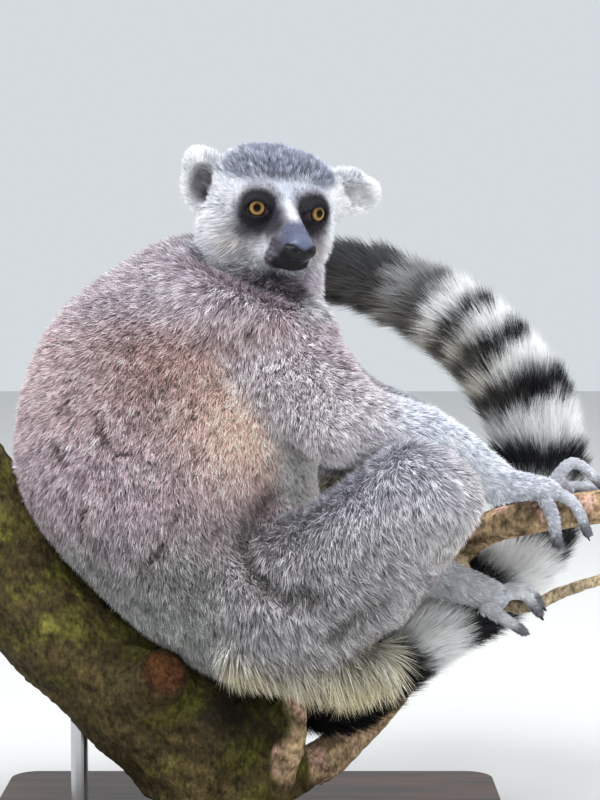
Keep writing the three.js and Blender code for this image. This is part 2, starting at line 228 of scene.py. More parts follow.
def ellipse_distance(scaled, radii):
    """Signed distance, near enough, to an ellipse or ellipsoid, from its own coordinates."""
    k0 = np.linalg.norm(scaled / radii, axis=-1)
    k1 = np.linalg.norm(scaled / radii**2, axis=-1)
    return k0 * (k0 - 1) / np.maximum(k1, 1e-9)


def turn_share(across, away):
    """The angle of (away, across) as a share of a full turn, in 0..1."""
    return np.arctan2(across, away) / (2 * math.pi) + 0.5


class Ball:
    """An ellipsoid. `axes` holds its directions as columns."""

    def __init__(self, centre, radii, axes=HEAD_AXES):
        self.centre = np.asarray(centre, float)
        self.radii = np.asarray(radii, float)
        self.axes = axes
        reach = np.sqrt(((axes * self.radii) ** 2).sum(1))
        self.low, self.high = self.centre - reach, self.centre + reach

    def distance(self, points):
        return ellipse_distance((points - self.centre) @ self.axes, self.radii)

    def unwrap(self, points):
        x, y, z = unit((points - self.centre) @ self.axes).T
        return np.stack([turn_share(y, x), np.arcsin(z) / math.pi + 0.5], 1)


class Sweep:
    """An ellipse swept along a curve, with rounded ends. The hair lies towards the curve's end."""

    def __init__(self, stations, inset=0.0, side=(0, 1, 0), spans=2, dome=0.8):
        table = np.asarray(stations, float)
        self.centre = curve(table[:, :3], spans)
        share = np.linspace(0, 1, len(self.centre))
        inset = np.interp(share, np.linspace(0, 1, np.size(inset)), np.atleast_1d(inset))
        self.radii = np.maximum(curve(table[:, [3, -1]], spans) - inset[:, None], 0.6)
        self.along = unit(np.gradient(self.centre, axis=0))
        side = np.asarray(side, float)
        self.wide = unit(side - self.along * (self.along @ side)[:, None])
        self.deep = np.cross(self.along, self.wide)
        self.dome = dome
        self.run = np.r_[0, np.cumsum(np.linalg.norm(np.diff(self.centre, axis=0), axis=1))]
        reach = self.radii.max(1)[:, None]
        self.low, self.high = (self.centre - reach).min(0), (self.centre + reach).max(0)

    def place(self, points):
        """Position along the curve, in spans."""
        best = np.full(len(points), np.inf)
        where = np.zeros(len(points))
        for i, (a, b) in enumerate(zip(self.centre[:-1], self.centre[1:])):
            step = b - a
            u = np.clip((points - a) @ step / (step @ step), 0, 1)
            gap = ((points - a - u[:, None] * step) ** 2).sum(1)
            near = gap < best
            best[near] = gap[near]
            where[near] = i + u[near]
        return where

    def run_at(self, where):
        """Position along the curve, in mm."""
        return np.interp(where, np.arange(len(self.run)), self.run)

    def at(self, where, rows):
        i = np.minimum(where.astype(int), len(rows) - 2)
        f = (where - i)[:, None]
        return rows[i] * (1 - f) + rows[i + 1] * f

    def local(self, points):
        where = self.place(points)
        offset = points - self.at(where, self.centre)
        axes = [self.at(where, rows) for rows in (self.wide, self.deep, self.along)]
        return where, np.stack([(offset * axis).sum(1) for axis in axes], 1)

    def distance(self, points):
        where, own = self.local(points)
        radii = self.at(where, self.radii)
        return ellipse_distance(own, np.column_stack([radii, radii.min(1) * self.dome]))

    def lie(self, points):
        return self.at(self.place(points), self.along)

    def unwrap(self, points):
        where, own = self.local(points)
        return np.stack([turn_share(own[:, 1], own[:, 0]), where / (len(self.centre) - 1)], 1)


class Fan:
    """The trunk: sections that fan out from a pivot in front of the belly, in the plane of symmetry."""

    def __init__(self, stations, pivot, inset, dome=0.7):
        table = np.asarray(stations, float)
        path = curve(table[:, :3], 4)
        self.pivot = np.array([pivot[0], 0.0, pivot[1]])
        turn, reach = self.polar(path)
        order = np.argsort(turn)
        self.turn = turn[order]
        self.reach = reach[order]
        self.radii = (curve(table[:, 3:5], 4) - inset)[order]
        self.dome = dome
        high = self.radii.max()
        self.low, self.high = path.min(0) - high, path.max(0) + high

    def polar(self, points):
        """The turn about the pivot, and the distance from it."""
        spoke = points - self.pivot
        return np.mod(np.arctan2(spoke[:, 2], spoke[:, 0]), 2 * math.pi), np.hypot(spoke[:, 0], spoke[:, 2])

    def at(self, points, rows):
        turn, far = self.polar(points)
        inside = np.clip(turn, self.turn[0], self.turn[-1])
        return turn, inside, far, [np.interp(inside, self.turn, row) for row in rows]

    def distance(self, points):
        turn, inside, far, (reach, wide, deep) = self.at(points, [self.reach, *self.radii.T])
        radii = np.stack([wide, deep, np.minimum(wide, deep) * self.dome], 1)
        return ellipse_distance(np.stack([points[:, 1], far - reach, (turn - inside) * reach], 1), radii)

    def lie(self, points):
        turn, _ = self.polar(points)
        return np.stack([-np.sin(turn), np.zeros(len(turn)), np.cos(turn)], 1)

    def unwrap(self, points):
        turn, _, far, (reach,) = self.at(points, [self.reach])
        along = (turn - self.turn[0]) / (self.turn[-1] - self.turn[0])
        return np.stack([turn_share(points[:, 1], far - reach), np.clip(0.1 + 0.8 * along, 0, 1)], 1)


def head_ball(f, l, u, radii):
    return Ball(of_head([f, l, u]), radii)


def head_sweep(stations, **options):
    return Sweep([[*of_head(row[:3]), *row[3:]] for row in stations], side=HEAD_AXES[:, 1], **options)


def eye_centre(sideways):
    return of_head([0, sideways * EYE_APART / 2, 0])


def from_eyes(points):
    """Distance to the nearer eyeball's centre."""
    return np.minimum(*(np.linalg.norm(points - eye_centre(way), axis=1) for way, _ in SIDES))


def eye_axes(sideways):
    """An eye's frame: along its gaze, to the animal's left, and up."""
    return HEAD_AXES @ turned((sideways * EYE_SPLAY, "Z"))


def in_eye(sideways, points):
    """Points in an eye's frame to the builder's frame."""
    return eye_centre(sideways) + np.asarray(points, float) @ eye_axes(sideways).T


def ear_axes(sideways):
    ear = EARS[sideways]
    return HEAD_AXES @ turned((ear["turn"], "Z"), (ear["lean"], "X"))


ADD, CUT = 1, -1
FAR = 30.0  # the field where no form is near
MARGIN = 8.0  # how far past its box a form is worked out
CREASE_BLEND = 9
SKIN_CELL = 2.0
WOOD_CELL = 2.2


class Steps(list):
    """The forms of a surface in order: (name, ADD or CUT, form, how far it blends into what came before)."""

    def add(self, name, form, blend):
        self.append((name, ADD, form, blend))

    def cut(self, form, blend):
        self.append(("", CUT, form, blend))

    def forms(self):
        return {name: form for name, how, form, _ in self if how == ADD}

    def crease(self, line, radius, depth, ways=(-1, 1)):
        """Presses a fold into the sides along a line of (x, z)."""
        for way in ways:
            out = [way * (self.outermost(x, z, way) + radius - depth) for x, z in line]
            self.cut(Sweep([[x, y, z, radius] for (x, z), y in zip(line, out)]), CREASE_BLEND)

    def outermost(self, x, z, way):
        """How far out sideways the surface lies at a place seen from the side."""
        far = np.arange(150, 0, -0.5)
        field = self.field(np.column_stack([np.full(len(far), x), way * far, np.full(len(far), z)]))
        return far[np.argmax(field < 0)]

    def field(self, points):
        """The joined distance at scattered points."""
        field = np.full(len(points), FAR)
        for _, how, form, blend in self:
            near = close_to(form, points, MARGIN + blend)
            if near.any():
                field[near] = joined(how, field[near], form.distance(points[near]), blend)
        return field

    def mesh(self, cell):
        """(vertices, quads) of the joined surface, from a grid of the given cell."""
        forms = self.forms().values()
        low = np.min([form.low for form in forms], axis=0) - 6
        high = np.max([form.high for form in forms], axis=0) + 6
        size = np.ceil((high - low) / cell).astype(int) + 1
        axes = [low[k] + cell * np.arange(size[k]) for k in range(3)]
        field = np.full(size, FAR, np.float32)
        for _, how, form, blend in self:
            reach = MARGIN + blend
            start = np.clip(((form.low - reach - low) / cell).astype(int), 0, size)
            stop = np.clip(((form.high + reach - low) / cell).astype(int) + 1, 0, size)
            block = tuple(slice(a, b) for a, b in zip(start, stop))
            points = np.stack(np.meshgrid(*(axes[k][block[k]] for k in range(3)), indexing="ij"), -1)
            distance = form.distance(points.reshape(-1, 3)).reshape(points.shape[:3])
            field[block] = joined(how, field[block], distance, blend)
        grid = openvdb.FloatGrid(FAR)
        grid.copyFromArray(field)
        vertices, quads = grid.convertToQuads(0.0)
        return vertices.astype(float) * cell + low, quads

    def gradient(self, points, step=0.35):
        """The field's gradient, from four samples in a tetrahedron."""
        corners = np.array([[1, 1, 1], [1, -1, -1], [-1, 1, -1], [-1, -1, 1]], float)
        total = sum(c * self.field(points + c * step)[:, None] for c in corners)
        return total / (4 * step)

    def settled(self, points):
        """Points moved onto the surface."""
        for _ in range(2):
            slope = self.gradient(points)
            distance = np.clip(self.field(points), -1.5, 1.5)
            points = points - slope * (distance / np.maximum((slope**2).sum(1), 0.3))[:, None]
        return points


def joined(how, field, distance, blend):
    """The smooth union of a field with a form, or what is left when the form is cut away."""
    field = how * field
    h = np.clip(0.5 + 0.5 * (distance - field) / blend, 0, 1)
    return how * (distance * (1 - h) + field * h - blend * h * (1 - h))


def flesh():
    """The skin's forms, from the trunk to the mouth."""
    steps = Steps()
    add = steps.add
    add("trunk", Fan(TRUNK, TRUNK_PIVOT, 4.5), 1)
    add("belly", Sweep([[-8, 0, 150, 34, 26], [-30, 0, 200, 40, 34], [-22, 0, 250, 36, 30]]), 12)
    for way, side in SIDES:
        add(f"flank_{side}", Ball((-34, way * 30, 222), (38, 32, 46), np.eye(3)), 22)
    add("neck", Sweep(NECK, 6), 12)
    add("collar", Sweep(COLLAR), 20)
    for way, side in SIDES:
        add(f"upper_arm_{side}", Sweep(on_side(way, UPPER_ARM), [7, 5, 5]), 12)
        add(f"thigh_{side}", Sweep(on_side(way, THIGH_FORM), [7, 6, 5]), 20)
        add(f"fringe_{side}", Sweep(on_side(way, FRINGE), 14), 20)
    steps.crease(HAUNCH_FOLD, 7, 3.8)
    steps.crease(UNDER_FOLD, 6, 2)
    steps.crease(CHIN_FOLD, 6, 3, [-1])
    for _, side in SIDES:
        add(f"forearm_{side}", Sweep(LIMBS[side]["forearm"], [5, 3.5, 2.2, 1.5]), 6)
    for _, side in SIDES:
        add(f"shank_{side}", Sweep(LIMBS[side]["shank"], [5, 4.5, 2.5, 2], side=(0, 0, 1)), 6)
    for _, side in SIDES:
        add(f"foot_{side}", Sweep(LIMBS[side]["foot"], 1.8), 4)
        add(f"palm_{side}", Sweep(LIMBS[side]["palm"], [1.4, 1.2, 1.0]), 3)
        for limb, digit in (("hand", "finger"), ("foot", "toe")):
            for i, path in enumerate(DIGITS[f"{limb}_{side}"]):
                stations = [[*p, DIGIT - 0.4 * joint - 0.4] for joint, p in enumerate(path)]
                add(f"{digit}_{side}_{i}", Sweep(stations, spans=4), 2.2)
    add("tail", Sweep(TAIL, np.r_[6, 9, 12, np.full(17, 14.5), 11, 6], side=(0.2, 1, 0.3)), 8)
    add_head(steps)
    return steps


def add_head(steps):
    add, cut = steps.add, steps.cut
    add("skull", head_ball(-30, 0, 4, (31.5, 32, 26.5)), 8)
    jaw = [[-24, 0, -20, 18, 11], [0, 0, -23, 12.5, 7.5], [18, 0, -26, 9, 5], [25.5, 0, -26.5, 7, 4]]
    add("jaw", head_sweep(jaw), 6)
    muzzle = [[-8, 0, -11, 16, 11], [12, 0, -16, 12, 9], [24, 0, -19, 9.6, 7.5], [31, 0, -20, 8, 6]]
    bridge = [[-6, 0, 3, 7.5, 8], [8, 0, -5, 6.5, 7], [20, 0, -11.5, 6, 6], [31, 0, -16, 5.5, 4.5]]
    for way, side in SIDES:
        add(f"crown_{side}", head_ball(-24, 2 + way * 16.5, 8.5, (22, 18, 17)), 8)
        add(f"cheek_{side}", head_ball(-25, way * 19, -14, (19, 15, 16)), 8)
        add(f"brow_{side}", head_ball(-10, way * 15.5, 1, (16, 15, 15.5)), 6)
    add("muzzle", head_sweep(muzzle), 5)
    add("bridge", head_sweep(bridge), 5)
    add("nose", head_ball(33, 0, -18.8, (4, 6.2, 4.4)), 2.5)
    add("nose_tip", head_ball(34.2, 0, -21.8, (3, 4, 3.4)), 2)
    for way, side in SIDES:
        add(f"nose_wing_{side}", head_ball(31.4, way * 6, -18.6, (3.8, 2.8, 3.5)), 1.2)
        add_ear(steps, way, side)
        add_eyelids(steps, way, side)
        nostril = [[36.4, 3, -19.4, 1, 0.9], [36.2, 5.2, -17.6, 1.6, 1.3], [33, 8.8, -17.2, 1.1, 0.9]]
        cut(head_sweep(on_side(-way, nostril)), 0.5)
        mouth = [[37, 0, -24.4, 0.9], [32, 6.6, -24.6, 0.9], [20, 10.2, -24.2, 0.9], [8, 13, -22, 0.9]]
        cut(head_sweep(on_side(-way, mouth)), 0.8)
    cut(head_sweep([[38.6, 0, -19.5, 0.7], [37.4, 0, -24.4, 0.7]]), 0.6)  # between nose and lip


def add_ear(steps, way, side):
    ear = EARS[way]
    axes = ear_axes(way)
    centre = of_head(ear["at"])

    def ball(place, radii):
        return Ball(centre + axes @ place, radii, axes)

    root = [[*of_head([-26, way * 24, 2]), 15, 12], [*centre, 10, 7]]
    steps.add(f"ear_root_{side}", Sweep(root, side=axes[:, 1]), 7)
    steps.add(f"ear_{side}", Ball(centre, (6.5, ear["wide"], ear["tall"]), axes), 3)
    steps.add(f"ear_point_{side}", ball([-0.5, *ear["point"]], (4.5, 6.5, 6.5)), 5)
    steps.cut(ball([6.0, 0, -1.5], (8.5, ear["wide"] - 2.5, ear["tall"] - 3.5)), 2)
    steps.cut(ball([-1.0, way * -2.0, -5.0], (6.5, 4.5, 5.0)), 2)


def add_eyelids(steps, way, side):
    axes = eye_axes(way)

    def sweep(rows, across=1, **options):
        return Sweep([[*in_eye(way, row[:3]), *row[3:]] for row in rows], side=axes[:, across], **options)

    steps.add(f"lids_{side}", Ball(eye_centre(way), (9, 9, 9), axes), 2.5)
    turn = np.linspace(0, 2 * math.pi, 13)
    radius = np.full(len(turn), 0.9)
    rim = [7.3 - 0.5 * np.cos(turn) ** 2, 5.9 * np.cos(turn), 0.2 + 5.2 * np.sin(turn), radius]
    steps.add(f"lid_rim_{side}", sweep(np.column_stack(rim), 0), 1.2)
    turn = np.radians(np.linspace(15, 165, 9))
    radius = np.full(len(turn), 0.8)
    fold = [np.full(len(turn), 5.6), 8.3 * np.cos(turn), 0.6 + 7.6 * np.sin(turn), radius]
    steps.cut(sweep(np.column_stack(fold), 0), 0.9)
    steps.cut(sweep([[2, 0, -0.4, 5.2, 3.8], [16, 0, -0.6, 5.8, 4.2]], dome=0.1), 0.6)  # the slit
    corner = [[3, way * -5.6, -1.8, 2.4, 1.3], [14, way * -7.4, -2.6, 2.6, 1.4]]
    steps.cut(sweep(corner, dome=0.1), 0.6)


def coordinates(bm):
    return np.array([v.co[:] for v in bm.verts])


def refine(bm, steps, wanted):
    """Halves the edges where `wanted` is true of both ends, and moves the new points onto the surface."""
    near = wanted(coordinates(bm))
    bm.verts.index_update()
    edges = [e for e in bm.edges if near[e.verts[0].index] and near[e.verts[1].index]]
    old = len(bm.verts)
    bmesh.ops.subdivide_edges(bm, edges=edges, cuts=1, use_grid_fill=True)
    bmesh.ops.triangulate(bm, faces=[f for f in bm.faces if len(f.verts) > 4])
    bm.verts.index_update()
    points = coordinates(bm)
    moved = wanted(points)
    moved[old:] = True
    points[moved] = steps.settled(points[moved])
    for vertex, point in zip(bm.verts, points):
        vertex.co = point


# ---- Markings, with painted shade and light ----
def paint(code):
    """An sRGB code as linear colour."""
    values = np.array([int(code[i : i + 2], 16) for i in (1, 3, 5)]) / 255
    return np.where(values <= 0.04045, values / 12.92, ((values + 0.055) / 1.055) ** 2.4)


def paints(*codes):
    return [paint(code) for code in codes]


# Painted shade among these: the second, a darker white for the top of the forehead, and the fourth, the grey
# in the ear hollows.
WHITE, BROW_SHADED_WHITE, EAR_WHITE, EAR_HOLLOW_SHADE = paints("#ecedf3", "#d3d7e2", "#fbfcfe", "#a3a0a6")
CROWN, PATCH, PATCH_EDGE, LID = paints("#8b8f9f", "#36323c", "#67626c", "#0c0a10")
BRIDGE, LIP, LIP_SIDE, TAN = paints("#5e637a", "#0b0c10", "#4b444f", "#b49a7c")
# The third of these is painted light: the lighter rim at the rear of the upper back.
SHOULDER, BACK, BACK_RIM_LIGHT, MID_BACK = paints("#d4c6d0", "#bca09d", "#d3bcbd", "#c3b0b7")
# The third of these is the flank's cream, painted brighter as a pool of light.
LOW_BACK, RUMP, LIT_FLANK_CREAM, BELLY = paints("#979696", "#b0b1ad", "#fddfd0", "#eeeae8")
# All four of these are painted shade: under the cheek, in the partings, in the folds and under the chin.
COLLAR_SHADE, PARTING_SHADE, FOLD_SHADE, CHIN_SHADE = paints("#686d78", "#4f392f", "#46403c", "#1d2129")
ARM, FOREARM, HAND, DIGIT_SKIN = paints("#e0d5da", "#e2e6f3", "#cccfd8", "#55535a")
# The second of these is painted light: the lighter, bluer top of the thigh.
THIGH, THIGH_TOP_LIGHT, CREAM, FOOT = paints("#b6b2b4", "#cccbd8", "#c0b695", "#d2d4d9")
TAIL_WHITE, TAIL_CREAM, TAIL_SMOKE, TAIL_BLACK = paints("#fdfeff", "#f4eee2", "#77736c", "#121317")
MOULD, MOSS, THIN_BARK, SCUFF = paints("#453b22", "#5c5926", "#b59c7a", "#d0a896")
STREAK, TWIG, SAWN_FOOT = paints("#5a4632", "#b3a184", "#b08a5c")
SAWN, GROWTH_RING, UNDER_BARK = paints("#8f6b45", "#5e4229", "#3f3926")
# Where each ring of the tail begins, in mm from the root, and how white it is.
RINGS = [
    (0, 0.12), (30, 0), (112, 1), (142, 0), (178, 1), (214, 0), (234, 1), (254, 0), (275, 1), (296, 0),
    (314, 1), (329, 0), (343, 1), (355, 0), (366, 1), (380, 0.12), (394, 0.35), (412, 0.06),
]
TAIL_INSIDE = unit(np.array([-0.7, -0.1, -0.7]))  # towards the inside of the tail's arch
SHOWN_PAST_ROOT = 17  # mm along the tail from a hair's root to where it is seen


def noise(points, scale, seed):
    """Smooth pseudo-random waves in -1..1, about `scale` mm across."""
    rng = np.random.default_rng(seed)
    total = np.zeros(len(points))
    for _ in range(5):
        way = unit(rng.normal(size=3)) * rng.uniform(0.7, 1.6) * 2 * math.pi / scale
        phase = rng.uniform(0, 2 * math.pi)
        total += np.sin(points @ way + phase + 0.8 * np.sin(points @ (way[::-1] * 0.6)))
    return total / 3.2


def step_to(value, edge, soft):
    """0 below the edge, 1 above it."""
    t = np.clip((value - edge) / soft + 0.5, 0, 1)
    return t * t * (3 - 2 * t)


def hill(*offsets):
    """1 in the middle, falling away with the offsets, which are in the hill's own widths."""
    return np.exp(-sum(offset**2 for offset in offsets))


def mix(a, b, amount):
    amount = np.asarray(amount, float)[..., None]
    return a * (1 - amount) + b * amount


# The forms that share a coat. The first form's lie and unwrap stand for its group.
HEAD_PAIRS = ("crown", "cheek", "brow", "lids", "lid_rim", "ear_root", "nose_wing")
GROUPS = {
    "trunk": ["trunk", "belly", *sided("flank")],
    "neck": ["neck", "collar"],
    "tail": ["tail"],
    "head": ["skull", "jaw", "muzzle", "bridge", "nose", "nose_tip", *sided(*HEAD_PAIRS)],
    **{ear: [ear, ear.replace("ear", "ear_point")] for ear in sided("ear")},
}
for _, side in SIDES:
    for kind in ("upper_arm", "forearm", "thigh", "fringe", "shank"):
        GROUPS[f"{kind}_{side}"] = [f"{kind}_{side}"]
    GROUPS[f"hand_{side}"] = [f"palm_{side}", *(f"finger_{side}_{i}" for i in range(5))]
    GROUPS[f"foot_{side}"] = [f"foot_{side}", *(f"toe_{side}_{i}" for i in range(4))]
NAMES = list(GROUPS)


def shares(points, forms, spread=4.0):
    """How far each group owns each point, one row for each group, adding up to one."""
    weights = np.full((len(NAMES), len(points)), 1e-9)
    for row, members in zip(weights, GROUPS.values()):
        for name in members:
            form = forms[name]
            near = close_to(form, points, 14)
            if near.any():
                depth = np.clip(form.distance(points[near]), -2, 60)
                row[near] = np.maximum(row[near], np.exp(-depth / spread))
    return weights / weights.sum(0)


def head_colours(points):
    """Colour on the head from its own frame: f forwards, l to the animal's left, u up."""
    f, l, u = in_head(points).T
    side = np.abs(l)
    ripple = noise(points, 9, 3)
    edge = 14.5 + 2.5 * hill((side - 11) / 6) - 0.10 * np.clip(side - 16, 0, 20)
    cap = step_to(u + 1.2 * ripple, edge, 5)
    cap = np.maximum(cap, step_to(-f, 50, 10) * step_to(u, -12, 12))
    cap *= 1 - step_to(side, 33, 6) * step_to(-u, -16, 8)
    # Painted shade: the forehead above the brows, which faces up, is painted a darker white.
    brow = step_to(u, 3, 8) * step_to(-side, -24, 10)
    colour = mix(mix(WHITE, BROW_SHADED_WHITE, brow), CROWN, cap)
    colour = mix(colour, TAN, 0.45 * hill((f + 2) / 12, (side - 24) / 9, (u + 20) / 9))
    down = np.clip(-(u + 2), 0, 20)
    patch = np.hypot((side - 15.4 + 0.15 * down) / 12.4, (u + 1.6) / 14.4)
    colour = mix(colour, PATCH_EDGE, 0.75 * step_to(-patch - 0.08 * ripple, -1.1, 0.45) * step_to(f, -14, 6))
    colour = mix(colour, PATCH, step_to(-patch - 0.05 * ripple, -0.86, 0.34) * step_to(f, -13, 5))
    colour = mix(colour, LID, 0.9 * step_to(-from_eyes(points), -10.6, 2.4))
    grey = step_to(f + 0.6 * ripple, 20, 6) * step_to(-side - 0.45 * (u + 13), -8.6, 3)
    colour = mix(colour, BRIDGE, grey * step_to(u, -24, 8))
    below = step_to(-u - 0.42 * np.clip(f - 6, 0, 40) + 0.2 * side, 9, 4)
    dark = step_to(f - 0.45 * side - 0.75 * (u + 20) + 0.7 * ripple, 7.5, 3.5) * below
    colour = mix(colour, LIP_SIDE, dark * (1 - 0.22 * step_to(noise(points, 3.5, 8), 0.1, 0.5)))
    front = step_to(0.5 * f - u - 0.3 * np.clip(side - 6, 0, 9) + 0.5 * ripple, 33.4, 4)
    colour = mix(colour, LIP, front * dark)
    return mix(colour, LIP, step_to(f, 30.5, 3) * step_to(-u + 0.35 * (side - 3), 17.2, 3))


def ear_tint(points, colour):
    """Paints shade into the hollows of the ears, with the lips' black as painted shadow deepest in; the far
    one catches the light, so it gets little.
    """
    for sideways, strength in ((-1, 0.95), (1, 0.12)):
        ear = EARS[sideways]
        own = (points - of_head(ear["at"])) @ ear_axes(sideways)
        shaded_hollow = np.hypot(own[:, 1] / (ear["wide"] - 2.5), (own[:, 2] + 2.5) / (ear["tall"] - 3.5))
        near = (np.abs(own) < [9, ear["wide"] + 2, ear["tall"] + 2]).all(1)
        # Painted shade in the hollow, strong in the near ear and faint in the far one.
        inside = step_to(-shaded_hollow, -0.82, 0.45) * step_to(own[:, 0], -4, 2) * near * strength
        colour = mix(colour, EAR_HOLLOW_SHADE, inside)
        deep = np.hypot(own[:, 1] + sideways * 3.5, own[:, 2] + 7)
        # Painted shadow deep in the hollow, in the lips' black.
        colour = mix(colour, LIP, inside * step_to(-deep, -5.5, 4))
    return colour


def partings(points):
    """1 along the short curved gaps in the trunk's coat, 0 elsewhere."""
    x, y, z = points.T
    gap = 1 - np.clip(np.abs(noise(points * [1, 1, 0.75], 52, 41)) / 0.15, 0, 1)
    broken = step_to(noise(points, 30, 42), 0.16, 0.35)
    return gap * broken * (step_to(-x, 30, 24) * step_to(z, 150, 30) * step_to(-z, -250, 24))


def belly_share(points):
    x, y, z = points.T
    belly = step_to(x + 0.15 * (z - 200) + 3 * noise(points, 14, 43), -12, 14) * step_to(-np.abs(y), -70, 24)
    return belly * step_to(-z, -278, 24)


def gap_to(points, line):
    """Distance, seen from the side, to a broken line of (x, z)."""
    flat = points[:, [0, 2]]
    best = np.full(len(points), np.inf)
    for a, b in zip(np.asarray(line[:-1], float), np.asarray(line[1:], float)):
        u = np.clip((flat - a) @ (b - a) / ((b - a) @ (b - a)), 0, 1)
        best = np.minimum(best, np.linalg.norm(flat - a - u[:, None] * (b - a), axis=1))
    return best


def folds(points):
    """1 in the folds round the thigh, 0 elsewhere."""
    gap = np.minimum(gap_to(points, HAUNCH_FOLD), gap_to(points, UNDER_FOLD) + 2)
    broken = 0.6 + 0.4 * step_to(noise(points, 24, 62), 0.1, 0.8)
    return hill(gap / 5.5) * step_to(np.abs(points[:, 1]), 35, 20) * broken


def trunk_colours(points):
    x, y, z = points.T
    ripple = noise(points, 45, 1)
    back = mix(LOW_BACK, MID_BACK, step_to(z + 8 * ripple, 175, 60))
    # Painted rim light: the upper back turns lighter towards its rear outline.
    back = mix(back, mix(BACK, BACK_RIM_LIGHT, step_to(-x, 98, 30)), step_to(z + 10 * ripple, 235, 50))
    back = mix(back, SHOULDER, step_to(z, 290, 34))
    back = mix(back, RUMP, step_to(-z + 6 * ripple, -135, 35))
    # The flank's own cream, painted brighter as a pool of light on it.
    back = mix(back, LIT_FLANK_CREAM, hill((x + 28) / 34, (z - 234) / 36) * step_to(np.abs(y), 20, 30))
    # Painted shade along the gaps where the coat parts.
    back = mix(back, PARTING_SHADE, partings(points))
    return mix(back, BELLY, belly_share(points))


def tail_colours(points, tail):
    where = tail.place(points)
    run = tail.run_at(where) + SHOWN_PAST_ROOT + 2.0 * noise(points, 14, 5)
    edges, tones = np.array(RINGS, float).T
    tone = tones[0] + sum(rise * step_to(run, edge, 6) for rise, edge in zip(np.diff(tones), edges[1:]))
    inwards = (points - tail.at(where, tail.centre)) @ TAIL_INSIDE
    inner = step_to(inwards, 6, 14) * step_to(points[:, 2], 225, 40)
    return mix(mix(TAIL_BLACK, TAIL_SMOKE, 0.8 * inner), mix(TAIL_WHITE, TAIL_CREAM, inner), tone)


def coat_colours(points, weights, forms):
    """The markings on the skin, with painted shade and light among them, which the hairs take from their
    roots.
    """
    x, y, z = points.T
    throat = step_to(x - 0.5 * (z - 320), 12, 10) * step_to(z, 292, 20)
    under = np.min([forms[name].distance(points) for name in ("cheek_right", "jaw", "skull")], axis=0)
    shade = hill(np.maximum(under - 3, 0) / 9) * step_to(-y, 8, 16) * (1 - throat)
    chin = hill(gap_to(points, CHIN_FOLD) / 5) * step_to(-y, 10, 20) * (0.6 + 0.4 * step_to(x, -25, 20))
    fold = 0.95 * folds(points)
    trunk = mix(trunk_colours(points), FOLD_SHADE, fold)
    # Painted light: the thigh turns lighter and bluer towards its top.
    thigh = mix(mix(THIGH, THIGH_TOP_LIGHT, step_to(z, 190, 50)), FOLD_SHADE, fold)
    inner = step_to(-np.abs(y), -62, 24) * step_to(x, 8, 20)
    ends = np.array([path[-1] for paths in DIGITS.values() for path in paths], float)
    to_end = np.min(np.linalg.norm(points[:, None, :] - ends[None], axis=2), axis=1)
    fingertips = 0.85 * step_to(-to_end, -8, 7) + 0.12 * step_to(noise(points, 9, 61), 0.3, 0.4)
    of_kind = {
        # Painted shade below the cheek and jaw, and a little of the same grey over all the neck.
        "trunk": mix(mix(trunk, COLLAR_SHADE, 0.8 * shade), CHIN_SHADE, 0.95 * chin),
        "neck": mix(mix(mix(trunk, COLLAR_SHADE, 0.12 + 0.7 * shade), WHITE, throat), CHIN_SHADE, 0.95 * chin),
        "tail": tail_colours(points, forms["tail"]),
        "head": head_colours(points),
        "ear": EAR_WHITE,
        "upper_arm": mix(ARM, SHOULDER, step_to(z, 268, 40)),
        "forearm": mix(FOREARM, ARM, step_to(-x, -52, 30) * 0.5),
        "hand": mix(HAND, DIGIT_SKIN, fingertips),
        "thigh": mix(thigh, CREAM, inner),
        "fringe": mix(RUMP, CREAM, step_to(-z, -110, 16)),
        "shank": mix(THIGH, CREAM, 0.45),
        "foot": mix(FOOT, DIGIT_SKIN, fingertips),
    }
    colour = sum(weight[:, None] * of_kind[kind_of(name)] for name, weight in zip(NAMES, weights))
    return ear_tint(points, colour)


def kind_of(name):
    return name.removesuffix("_right").removesuffix("_left")


# ---- Skin ----
def within(value, low, high):
    return (value > low) & (value < high)


def near_head(points):
    f, l, u = in_head(points).T
    return (f > -34) & (np.abs(l) < 62) & within(u, -34, 36)


def near_face(points):
    f, l, u = in_head(points).T
    return (from_eyes(points) < 11.5) | ((f > 26) & within(u, -34, -8) & (np.abs(l) < 14))


def near_digits(points):
    x, y, z = points.T
    hands = (x > 104) & within(z, 158, 216) & (y < 34)
    right_foot = (x > 90) & within(z, 104, 150) & (y < 0)
    left_foot = (np.abs(points - [80, 48, 114]) < 24).all(1)
    return hands | right_foot | left_foot


def read(items, field, kind=np.float32):
    """A field of three values for each item."""
    values = np.empty(len(items) * 3, kind)
    items.foreach_get(field, values)
    return values.reshape(-1, 3)


def store(layer, field, values):
    layer.data.foreach_set(field, np.asarray(values, np.float32).ravel())


def set_colours(mesh, colours):
    """Stores linear colours at the points, as `coat`."""
    rgba = np.column_stack([np.clip(colours, 0, 1), np.ones(len(colours))])
    store(mesh.color_attributes.new("coat", "FLOAT_COLOR", "POINT"), "color", rgba)


